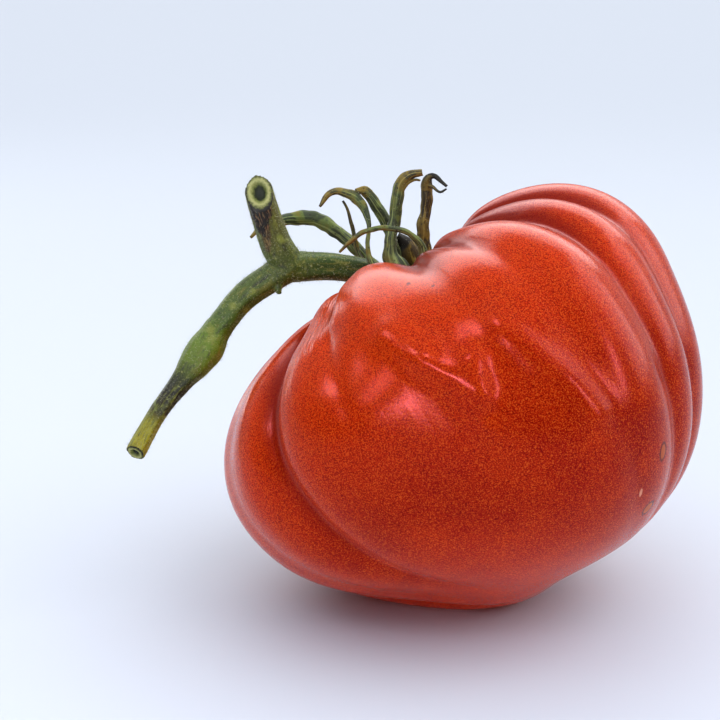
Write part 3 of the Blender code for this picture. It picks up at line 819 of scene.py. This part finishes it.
def along_ramp(name, length, *stops):
    """The colours along one arm, given at places in millimetres."""
    wobble = add(tree, MATH, streak, 5.0, read(name), operation="MULTIPLY_ADD")
    share = add(tree, MATH, add(tree, MATH, wobble, 2.5, operation="SUBTRACT"), length, operation="DIVIDE")
    return set_ramp(add(tree, RAMP, share), *[(at / length, colour(value)) for at, value in stops])


def masked(mask, low, high, below, above):
    """One colour where a mask is low and another where it is high."""
    factor = add(tree, RANGE, mask, low, high, 0.0, 1.0, interpolation_type="SMOOTHSTEP")
    return add(tree, MIX, factor, below, above, data_type="RGBA")


strand_in = read("strand", "Vector")
where = add(tree, "ShaderNodeTexCoord").outputs["Object"]
streak = add(tree, NOISE, strand_in, named={"Scale": 3.2, "Detail": 4.0, "Roughness": 0.6})
grain = add(tree, NOISE, where, named={"Scale": 1 / (0.5 * MM), "Detail": 3.0, "Roughness": 0.65})
blotch = add(tree, NOISE, where, named={"Scale": 1 / (3.5 * MM), "Detail": 2.0})
up_colours = along_ramp("along_up", 26.0, (0, "#5C5A2C"), (8, "#5E5C24"), (15, "#5E6224"), (22, "#56681C"))
left_colours = along_ramp("along_left", 66.0, (0.0, "#94882A"), (3.5, "#B0A41E"), (9.0, "#A39C1C"),
                          (12.0, "#3A3414"), (17.0, "#201C0E"), (21.0, "#3C4410"), (25.0, "#6E8214"),
                          (31.0, "#6C8616"), (36.0, "#506A18"), (50.0, "#54661C"), (64.0, "#4C5C18"))
stalk_colours = along_ramp("along_stalk", 28.0, (0, "#4C5C16"), (8, "#3E5A14"), (16, "#38500F"),
                           (24, "#2C3414"))
bark_colour = add(tree, MIX, read("weight_left"), up_colours, left_colours, data_type="RGBA")
bark_colour = add(tree, MIX, read("weight_stalk"), bark_colour, stalk_colours, data_type="RGBA")
no_streak, no_grain = [add(tree, MATH, 1.0, pattern, operation="SUBTRACT") for pattern in (streak, grain)]
for pattern, low, high, tint in ((streak, 0.53, 0.64, "#74782C"), (no_streak, 0.53, 0.74, "#262C0E"),
                                 (blotch, 0.58, 0.72, "#869038"), (grain, 0.56, 0.72, "#A2A45E"),
                                 (no_grain, 0.58, 0.74, "#1C1F0A")):
    bark_colour = masked(pattern, low, high, bark_colour, colour(tint))
fibre = add(tree, NOISE, strand_in, named={"Scale": 9.0, "Detail": 3.0})
bruise_colour = masked(fibre, 0.46, 0.62, colour("#4A3A1E"), colour("#8A7444"))
bark_colour = masked(read("bruise"), 0.35, 0.85, bark_colour, bruise_colour)
scab_colour = masked(fibre, 0.50, 0.68, colour("#1C150E"), colour("#8E6C48"))
scab_edge = add(tree, MATH, grain, 0.5, read("scab"), operation="MULTIPLY_ADD")
bark_colour = masked(scab_edge, 0.60, 0.82, bark_colour, scab_colour)
# the cut face: a pale ring of pith with a dark outline; its dark middle is painted shade inside the hollow
pith_at = add(tree, MATH, grain, 0.35, read("cut_ratio"), operation="MULTIPLY_ADD")
pith_at = add(tree, MATH, pith_at, 0.17, operation="SUBTRACT")
cut_face_and_hollow_shade = set_ramp(add(tree, RAMP, pith_at),
                     (0.0, colour("#141A0C")), (0.34, colour("#2A3216")), (0.46, colour("#7E8440")),
                     (0.66, colour("#BCBA78")), (0.80, colour("#6E7234")), (0.88, colour("#1A140C")))
bark_colour = masked(read("cut_ratio"), 1.15, 1.4, cut_face_and_hollow_shade, bark_colour)
tree.links.new(shown(bark_colour.outputs, 0), shader.inputs["Base Color"])
rough_node = add(tree, RANGE, streak, 0.3, 0.7, 0.50, 0.72)
tree.links.new(rough_node.outputs[0], shader.inputs["Roughness"])
fine = add(tree, NOISE, strand_in, named={"Scale": 22.0, "Detail": 3.0})
height = add(tree, MATH, fine, add(tree, MATH, grain, 0.8, operation="MULTIPLY"), operation="ADD")
bump = add(tree, "ShaderNodeBump", named={"Height": height, "Strength": 0.5, "Distance": 0.12 * MM})
tree.links.new(bump.outputs[0], shader.inputs["Normal"])
set_constants(shader, {
    "IOR": 1.42,
    "Subsurface Weight": 0.06,
    "Subsurface Radius": (0.6, 1.0, 0.3),
    "Subsurface Scale": 0.8 * MM,
})
truss.data.materials.clear()
truss.data.materials.append(bark)
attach(truss, "root")
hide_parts("truss_stem")
print(bark.name, "has", len(tree.nodes), "nodes")

# %% [markdown]
# ## The sepals
# Behind the stalk stand the sepals: green when the fruit was picked, now dry, narrow and curled in
# arcs and hooks. Each one is a ribbon with a crescent section. Its edges curl in, its width comes and
# goes, it twists, and its margin is crinkled. Each ribbon is swept along its own route, since no two
# of them dried in the same way. A route starts at the receptacle and is pushed out of the skin where it
# would sink in. The colours follow how dry each one is, from grey-green to tan and near black.

# %% Sepal routes: places in millimetres with the width as the fourth number
# name, azimuth of the foot, route, the way its broad side faces, curl, dryness, seed
SEPALS = (
    ("sepal_1", 135, ((-11.0, 17.0, 71.6, 2.6), (-14.2, 17.6, 75.4, 2.4), (-18.6, 17.8, 79.6, 2.6),
                      (-23.2, 18.0, 83.0, 2.9), (-28.2, 18.2, 84.2, 2.7), (-33.0, 18.0, 83.6, 2.1),
                      (-37.6, 17.8, 82.0, 1.2), (-40.0, 17.0, 79.8, 0.5)), (0.3, -1.0, 0.4), 1.1, 0.25, 1),
    ("sepal_2", 100, ((-6.6, 15.6, 73.0, 2.9), (-8.0, 14.4, 78.0, 2.6), (-9.0, 12.6, 82.6, 2.3),
                      (-10.4, 11.8, 86.2, 2.3), (-12.4, 11.6, 89.0, 2.1), (-14.4, 11.4, 91.4, 1.8),
                      (-16.6, 10.4, 91.6, 0.8)),
     (0.3, -1.0, 0.0), 1.3, 0.15, 2),
    ("sepal_3", 235, ((-9.8, 4.8, 73.2, 1.5), (-13.0, 5.4, 76.8, 1.1), (-13.8, 6.8, 80.8, 0.8),
                      (-13.6, 8.0, 84.4, 0.8), (-14.6, 9.2, 88.0, 1.5), (-16.6, 9.8, 90.4, 2.0),
                      (-20.0, 10.0, 91.6, 1.3), (-22.6, 9.8, 90.8, 1.1), (-24.2, 9.4, 88.2, 0.5)),
     (0.2, -1.0, 0.0), 1.2, 0.35, 3),
    ("sepal_4", 300, ((-1.2, 5.2, 76.2, 1.8), (-2.2, 4.4, 80.6, 1.4), (-4.6, 4.0, 83.4, 1.1),
                      (-9.2, 3.6, 84.6, 1.0), (-13.4, 3.8, 84.2, 0.9), (-17.0, 4.6, 82.0, 0.8),
                      (-20.0, 5.6, 79.0, 0.5)), (0.0, -1.0, 0.5), 1.2, 0.3, 4),
    ("sepal_5", 150, ((-13.4, 14.6, 73.4, 1.0), (-16.0, 14.8, 77.0, 0.9), (-16.8, 14.2, 81.0, 0.8),
                      (-17.8, 13.6, 85.6, 0.6), (-19.2, 13.2, 89.0, 0.4)), (0.3, -1.0, 0.0), 0.8, 0.6, 5),
    ("sepal_6", 265, ((-5.2, 4.4, 73.4, 3.8), (-8.2, 5.6, 77.4, 3.4), (-8.8, 7.0, 81.0, 2.4),
                      (-8.0, 8.0, 85.0, 2.2), (-7.4, 8.0, 89.4, 2.3), (-6.6, 8.0, 93.2, 2.2),
                      (-4.6, 7.8, 95.4, 1.8), (-2.0, 7.2, 96.0, 1.1)), (0.1, -1.0, 0.0), 1.2, 0.3, 6),
    ("sepal_7", 345, ((-0.2, 9.6, 74.0, 2.2), (-1.4, 10.8, 79.0, 2.4), (-1.6, 11.0, 83.2, 2.3),
                      (-1.0, 11.0, 87.2, 2.1), (-0.8, 10.6, 91.0, 2.2), (-0.8, 10.2, 94.2, 1.6),
                      (0.8, 9.8, 95.0, 0.9), (3.4, 8.8, 92.8, 0.5)), (-0.1, -1.0, 0.0), 1.0, 0.85, 7),
    ("sepal_8", 60, ((-2.6, 16.4, 71.8, 4.4), (-3.6, 17.0, 74.8, 4.4), (-5.0, 16.6, 78.0, 3.4),
                     (-7.2, 15.4, 80.6, 1.6)), (0.2, -1.0, 0.1), 0.9, 1.0, 8),
)
# Threads that split from two of the sepals, as routes of the same kind
THREADS = {
    "sepal_6": (((-7.2, 8.2, 90.4, 0.7), (-5.3, 8.0, 93.3, 0.7), (-3.6, 7.8, 94.4, 0.6),
                 (-2.4, 7.8, 94.2, 0.4)),),
    "sepal_7": (((-1.0, 10.2, 93.0, 0.9), (0.4, 9.4, 92.6, 0.7), (2.0, 8.6, 91.7, 0.6),
                 (3.4, 8.2, 92.4, 0.35)),),
    "sepal_8": (((-1.6, 15.8, 72.0, 2.0), (0.4, 15.6, 75.6, 1.8), (1.8, 14.8, 78.4, 0.8)),),
}
THICKNESS, ACROSS, WIDER = 0.42, 9, 1.22


def push_out(route, clearance):
    """Moves places of a route out of the fruit's skin."""
    for row in route:
        near, facing, _, gap = skin_surface.find_nearest(Vector(row[:3]) * MM)
        outside = (Vector(row[:3]) * MM - near).dot(facing) > 0
        level = gap / MM if outside else -gap / MM
        if level < clearance:
            row[:3] += np.array(facing) * (clearance - level)
    return route


def ribbon(route, facing, curl, seed):
    """A crinkled ribbon with a crescent section along a route, as a closed mesh."""
    centres, widths = route[:, :3], route[:, 3]
    count = len(centres)
    share = np.linspace(0, 1, count)
    ahead = unit(np.gradient(centres, axis=0))
    across = unit(np.cross(ahead, np.array(facing)))
    out = np.cross(across, ahead)
    step = np.linalg.norm(np.diff(centres, axis=0), axis=1).mean()
    distance = np.arange(count) * step

    def lane(sideways=0.0, upwards=0.0):
        """Places along a straight line, one for each ring, to read the noise at."""
        return np.column_stack([distance, distance * 0 + sideways, distance * 0 + upwards])

    twist = 0.55 * noise_at(lane(), 7.0, seed)
    sway = np.column_stack([noise_at(lane(offset), 3.0, seed + 9) for offset in (2.0, 5.0)])
    sway = sway * 0.25 * np.minimum(1, share * 6)[:, None]
    centres = centres + across * sway[:, :1] + out * sway[:, 1:]
    side = across * np.cos(twist)[:, None] + out * np.sin(twist)[:, None]
    face = out * np.cos(twist)[:, None] - across * np.sin(twist)[:, None]
    curls = curl * (1 + 0.5 * noise_at(lane(0.0, 3.0), 4.0, seed + 4))
    curls = np.clip(curls, 0.2, 2.4)
    marks = np.linspace(-1, 1, ACROSS)
    rows = []
    for layer, order in ((1.0, marks), (-1.0, marks[::-1])):
        for mark in order:
            edge_line = lane(6 * np.sign(mark))
            crinkle = noise_at(edge_line, 1.3, seed + 20)
            reach = widths / 2 * (1 + 0.22 * abs(mark) * noise_at(edge_line, 2.2, seed + 30))
            reach = reach * curls / np.sin(np.minimum(curls, 1.57))
            bend = curls * mark
            sideways = np.sin(bend) / curls * reach
            upwards = (np.cos(bend) - 0.75) / curls * reach
            upwards = upwards + 0.30 * mark ** 2 * crinkle * np.minimum(widths / 2, 1.0)
            slim = np.minimum(THICKNESS, 0.55 * widths) * (1 - 0.62 * mark ** 2) / 2
            vein = 0.12 * np.exp(-(mark / 0.22) ** 2) * np.minimum(widths / 2, 1) * (layer > 0)
            level = upwards + layer * slim + vein
            rows.append(centres + side * sideways[:, None] + face * level[:, None])
    rings = np.stack(rows, axis=1)
    marks_around = np.concatenate([marks, marks[::-1]])
    layers = np.concatenate([np.ones(ACROSS), -np.ones(ACROSS)])
    return rings, share, marks_around, layers


# %% Build the sepals
sepals = []
for name, azimuth, points, facing, curl, dryness, seed in SEPALS:
    outward = np.array(fruit_turn @ direction(azimuth, 90.0))
    foot = cavity_floor + stem_axis * 3.6 + outward * 4.0
    points = [(*point[:3], point[3] * WIDER) for point in points]
    routes = [push_out(smooth_route(((*foot, points[0][3] * 1.15), *points), 0.45), 0.7)]
    routes += [push_out(smooth_route(points, 0.35), 0.5) for points in THREADS.get(name, ())]
    solids, alongs_, acrosses, insides = [], [], [], []
    for number, route in enumerate(routes):
        rings, share, marks_around, layers = ribbon(route, facing, curl, seed + 40 * number)
        solids.append(loft(rings))
        alongs_.append(np.repeat(share if number == 0 else 0.75 + 0.25 * share, len(marks_around)))
        acrosses.append(np.tile(marks_around, len(share)))
        insides.append(np.tile(layers, len(share)))
    mesh = joined_mesh(name + "_ribbon", solids)
    store(mesh, "along", np.concatenate(alongs_))
    store(mesh, "across", np.concatenate(acrosses))
    store(mesh, "inside", np.concatenate(insides))
    store(mesh, "dryness", np.full(len(mesh.vertices), dryness))
    mesh.shade_smooth()
    piece = placed(name + "_ribbon", mesh)
    keep_in_box(mesh)
    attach(piece, "root")
    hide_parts(name)
    sepals.append(piece)
print(len(sepals), "sepals with", sum(len(piece.data.polygons) for piece in sepals), "faces")

# %% [markdown]
# ## Dried calyx
# The sepals are leaf tissue: soft, dull and finely hairy, with a raised middle vein. Where they are
# still alive they look grey-green with a silvery bloom. Drying turns them tan and brown from the tips
# and edges, with dark spots. The roughness is high, about 0.75, and a thin sheen stands for the down.

# %% Dried calyx
calyx, tree, shader = new_material("dried_calyx")
along_in, across_in, dry_in = read("along"), read("across"), read("dryness")
where = add(tree, "ShaderNodeTexCoord").outputs["Object"]
lines_at = add(tree, "ShaderNodeCombineXYZ", add(tree, MATH, across_in, 5.0, operation="MULTIPLY"),
               add(tree, MATH, along_in, 3.0, operation="MULTIPLY"), dry_in)
lines = add(tree, NOISE, lines_at, named={"Scale": 1.0, "Detail": 4.0, "Roughness": 0.6})
patches = add(tree, NOISE, where, named={"Scale": 1 / (3.0 * MM), "Detail": 3.0})
spots = add(tree, NOISE, where, named={"Scale": 1 / (0.8 * MM), "Detail": 2.0})
green = masked(patches, 0.44, 0.58, colour("#36441A"), colour("#6C7E38"))
green = masked(lines, 0.50, 0.62, green, colour("#9AAA62"))
brown = masked(patches, 0.44, 0.56, colour("#473A10"), colour("#8A7420"))
brown = masked(lines, 0.52, 0.64, brown, colour("#A8923E"))
tipwards = add(tree, RANGE, along_in, 0.72, 1.0, 0.0, 0.5)
edgewards = add(tree, MATH, add(tree, MATH, across_in, operation="ABSOLUTE"), 0.18, operation="MULTIPLY")
dry = add(tree, MATH, dry_in, add(tree, MATH, tipwards, edgewards, operation="ADD"), operation="ADD")
patchy = add(tree, MATH, patches, 0.5, operation="SUBTRACT")
dry = add(tree, MATH, patchy, 0.9, dry, operation="MULTIPLY_ADD")
leaf = masked(dry, 0.35, 0.75, green, brown)
leaf = masked(dry, 1.0, 1.3, leaf, colour("#1E1C10"))
leaf = masked(spots, 0.60, 0.74, leaf, colour("#2A2410"))
# painted shade: each sepal is painted darker at its foot, down in the stem cavity under the stalk
painted_foot_shade = add(tree, RANGE, along_in, 0.05, 0.35, 1.0, 0.0)
leaf = masked(painted_foot_shade, 0.2, 1.0, leaf, colour("#34381C"))
tree.links.new(shown(leaf.outputs, 0), shader.inputs["Base Color"])
rough_node = add(tree, RANGE, patches, 0.3, 0.7, 0.65, 0.85)
tree.links.new(rough_node.outputs[0], shader.inputs["Roughness"])
vein_height = add(tree, MATH, lines, add(tree, MATH, spots, 0.6, operation="MULTIPLY"), operation="ADD")
bump = add(tree, "ShaderNodeBump", named={"Height": vein_height, "Strength": 0.6, "Distance": 0.15 * MM})
tree.links.new(bump.outputs[0], shader.inputs["Normal"])
set_constants(shader, {
    "Sheen Weight": 0.10,
    "Sheen Roughness": 0.5,
})
for piece in sepals:
    piece.data.materials.append(calyx)
print(calyx.name, "has", len(tree.nodes), "nodes")

# %% [markdown]
# ## Hairs
# Tomato stems are covered in fine white hairs, which catch the light along every edge. They repeat by
# the thousand and follow a surface, so Geometry Nodes scatter them. Each is a three-sided spike of a
# few faces, leaned off the surface by a random amount. The real ones are about 0.03 mm thick, which
# is too fine to show, so these are drawn twice as thick at the root.

# %% Tree that scatters hairs
tree, inputs = new_group(
    "Fine hairs", FIELD,
    [("Surface", "Object", None), ("Per square millimetre", "Float", 3.4), ("Length", "Float", 0.65),
     ("Root radius", "Float", 0.022), ("Lean", "Float", 0.7), ("Seed", "Int", 3),
     ("Hair", "Material", None)],
    [("Geometry", "Geometry", None)])
surface = add(tree, "GeometryNodeObjectInfo", inputs["Surface"], transform_space="ORIGINAL")
bark_only = add(tree, "GeometryNodeInputNamedAttribute", named={"Name": "cut_ratio"}, data_type="FLOAT")
cut_away = add(tree, "FunctionNodeCompare", shown(bark_only.outputs, 0), 1.5, data_type="FLOAT",
               operation="LESS_THAN")
on_cut = add(tree, "FunctionNodeBooleanMath", shown(bark_only.outputs, 1), cut_away, operation="AND")
keep = add(tree, "FunctionNodeBooleanMath", on_cut, operation="NOT")
density = add(tree, MATH, inputs["Per square millimetre"], 1 / MM ** 2, operation="MULTIPLY")
points = add(tree, "GeometryNodeDistributePointsOnFaces", surface.outputs["Geometry"],
             named={"Density": density, "Seed": inputs["Seed"], "Selection": keep})
millimetres = add(tree, MATH, inputs["Length"], MM, operation="MULTIPLY")
root = add(tree, MATH, inputs["Root radius"], MM, operation="MULTIPLY")
spike = add(tree, "GeometryNodeMeshCone", named={"Vertices": 3, "Side Segments": 2, "Radius Top": 0.0,
            "Radius Bottom": root, "Depth": millimetres}, fill_type="NONE")
lean = add(tree, "FunctionNodeRandomValue", named={"Seed": inputs["Seed"]}, data_type="FLOAT_VECTOR")
shown(lean.inputs, "Min").default_value = (-1.0, -1.0, -1.0)
shown(lean.inputs, "Max").default_value = (1.0, 1.0, 1.0)
lean_amount = add(tree, VECTOR, lean, named={"Scale": inputs["Lean"]}, operation="SCALE")
aim = add(tree, VECTOR, points.outputs["Normal"], lean_amount, operation="ADD")
turn = add(tree, "FunctionNodeAlignRotationToVector", named={"Vector": aim}, axis="Z")
size = add(tree, "FunctionNodeRandomValue", named={"Min": 0.45, "Max": 1.35, "Seed": inputs["Seed"]},
           data_type="FLOAT")
hairs_made = add(tree, "GeometryNodeInstanceOnPoints", points.outputs["Points"],
                 named={"Instance": spike, "Rotation": turn, "Scale": size})
real = add(tree, "GeometryNodeRealizeInstances", hairs_made)
set_output(tree, add(tree, "GeometryNodeSetMaterial", real, named={"Material": inputs["Hair"]}))
hair_tree = tree
print("the hairs' tree has", len(tree.nodes), "nodes")

# %% [markdown]
# ## Plant hair
# A hair is a clear, hollow cell. Seen singly it is nearly white, and many of them give a pale bloom.

# %% Plant hair and the hairs on each part
plant_hair, tree, shader = new_material("plant_hair")
where = add(tree, "ShaderNodeTexCoord").outputs["Object"]
tint = add(tree, NOISE, where, named={"Scale": 1 / (4.0 * MM), "Detail": 1.0})
hair_colour = masked(tint, 0.4, 0.6, colour("#A3AC7C"), colour("#D2D6B4"))
tree.links.new(shown(hair_colour.outputs, 0), shader.inputs["Base Color"])
shader.inputs["Roughness"].default_value = 0.6


def grow_hairs(name, on, slot_name, **settings):
    made = grown(name, hair_tree, Surface=on, Hair=plant_hair, **settings)
    keep_in_box(made.data)
    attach(made, "root")
    return made


grow_hairs("stem_hairs", truss, "stem")
for number, piece in enumerate(sepals):
    grow_hairs(piece.name.replace("ribbon", "hairs"), piece, "sepal", Length=0.45, Seed=10 + number,
               Root_radius=0.028, Per_square_millimetre=1.1)

# %% [markdown]
# ## Stage and light
# The floor is a plain pale sheet, large enough that its edge never shows. Three very wide suns give the
# soft light of a studio and cast the shadow, and the room around, which is the world, is bright behind
# and above. A waxy skin shows bright panels as its highlights, so these panels light nothing else and
# only their places matter: a wide low one in front makes the broken streaks where the ribs meet, and
# those at the right and behind edge the far ribs. Pale paper also sends light back up. Two lamps stand
# in for that: one under the floor lights only the fruit, and one lights only the floor in front.

# %% Floor
FLOOR_SIZE = 8.0
floor_mesh = bpy.data.meshes.new("floor")
edge = FLOOR_SIZE / 2
corners = [(-edge, -edge, 0), (edge, -edge, 0), (edge, edge, 0), (-edge, edge, 0)]
floor_mesh.from_pydata(corners, [], [(0, 1, 2, 3)])
floor = placed("floor", floor_mesh)
paper, tree, shader = new_material("pale_paper")
set_constants(shader, {
    "Base Color": colour("#CED2D8"),
    "Roughness": 0.75,
    "Specular IOR Level": 0.3,
})
floor_mesh.materials.append(paper)

# %% Strengths of the room and the suns: place, power, and width in degrees
ROOM_BRIGHT, ROOM_DIM = 0.72, 0.10
SUNS = (("soft_sky", (0.10, 0.15, 1.0), 1.12, 120.0), ("key", (0.75, -0.30, 0.85), 0.98, 50.0),
        ("front_fill", (-0.25, -1.0, 0.85), 0.22, 90.0))

# %% World: bright behind and above, dim on the viewer's side
world = bpy.data.worlds.new("pale_room")
world.use_nodes = True
bpy.context.scene.world = world
tree = world.node_tree
room = tree.nodes["Background"]
look = add(tree, "ShaderNodeSeparateXYZ", add(tree, "ShaderNodeTexCoord").outputs["Generated"]).outputs
behind = add(tree, RANGE, look["Y"], -0.5, 0.7, 0.0, 1.0, interpolation_type="SMOOTHSTEP")
overhead = add(tree, RANGE, look["Z"], 0.35, 0.95, 0.0, 1.0, interpolation_type="SMOOTHSTEP")
bright = add(tree, MATH, behind, overhead, operation="MAXIMUM")
strength = add(tree, MATH, bright, ROOM_BRIGHT - ROOM_DIM, ROOM_DIM, operation="MULTIPLY_ADD")
tree.links.new(strength.outputs[0], room.inputs["Strength"])
room.inputs["Color"].default_value = colour("#ECF2FA")
for name, place, power, spread_angle in SUNS:
    data = bpy.data.lights.new(name, "SUN")
    data.energy = power
    data.angle = math.radians(spread_angle)
    data.color = colour("#F6F8FF")[:3]
    made = placed(name, data)
    made.rotation_euler = (-Vector(place)).to_track_quat("-Z", "Y").to_euler()
    made.visible_glossy = False
print("world and soft sky")


# %% Soft panels
def panel(name, place, aim, size, power, tint="#FFFFFF"):
    """A soft rectangular light, with its place and aim in metres."""
    data = bpy.data.lights.new(name, "AREA")
    data.shape = "RECTANGLE"
    data.size, data.size_y = size
    data.energy = power
    data.color = colour(tint)[:3]
    made = placed(name, data)
    made.location = place
    made.rotation_euler = (Vector(aim) - Vector(place)).to_track_quat("-Z", "Y").to_euler()
    made.visible_diffuse = False
    return made


AIM = (0.0, 0.0, 0.045)
PANELS = (
    ("left_pane_high", (-0.62, -0.16, 0.62), (0.16, 0.32), 2.6),
    ("left_pane_low", (-0.60, -0.46, 0.40), (0.14, 0.16), 0.8),
    ("front_strip", (-0.30, -0.78, 0.26), (0.45, 0.06), 5.0),
    ("top_pane", (-0.14, -0.34, 0.80), (0.14, 0.22), 1.6),
    ("right_strip", (0.66, -0.42, 0.34), (0.06, 0.40), 1.8),
    ("left_back_pane", (-0.50, 0.63, 0.19), (0.30, 0.40), 0.9),
    ("right_back_pane", (0.80, 0.15, 0.55), (0.60, 0.80), 4.5),
    ("back_pane", (0.05, 0.60, 0.62), (1.20, 0.50), 6.0),
)
for name, place, size, power in PANELS:
    panel(name, place, AIM, size, power)


def only_for(lamp, lit, name, through_the_rest):
    """Let a lamp light one piece only, by diffuse light, and through the other pieces if wanted."""
    lamp.visible_diffuse, lamp.visible_glossy = True, False
    group = bpy.data.collections.new(name)
    group.objects.link(lit)
    lamp.light_linking.receiver_collection = group
    if through_the_rest:
        lamp.light_linking.blocker_collection = group


paper_bounce = panel("paper_bounce", (0.02, -0.16, -0.10), (0.02, -0.02, 0.02), (0.40, 0.12), 0.20,
                     "#FFF0EC")
only_for(paper_bounce, fruit, "lit_from_below", True)
near_paper = panel("near_paper_fill", (0.0, -0.45, 0.35), (0.0, -0.2, 0.0), (0.50, 0.30), 1.00, "#D8E6FF")
only_for(near_paper, floor, "near_paper", False)
print(len(PANELS) + 2, "soft panels")
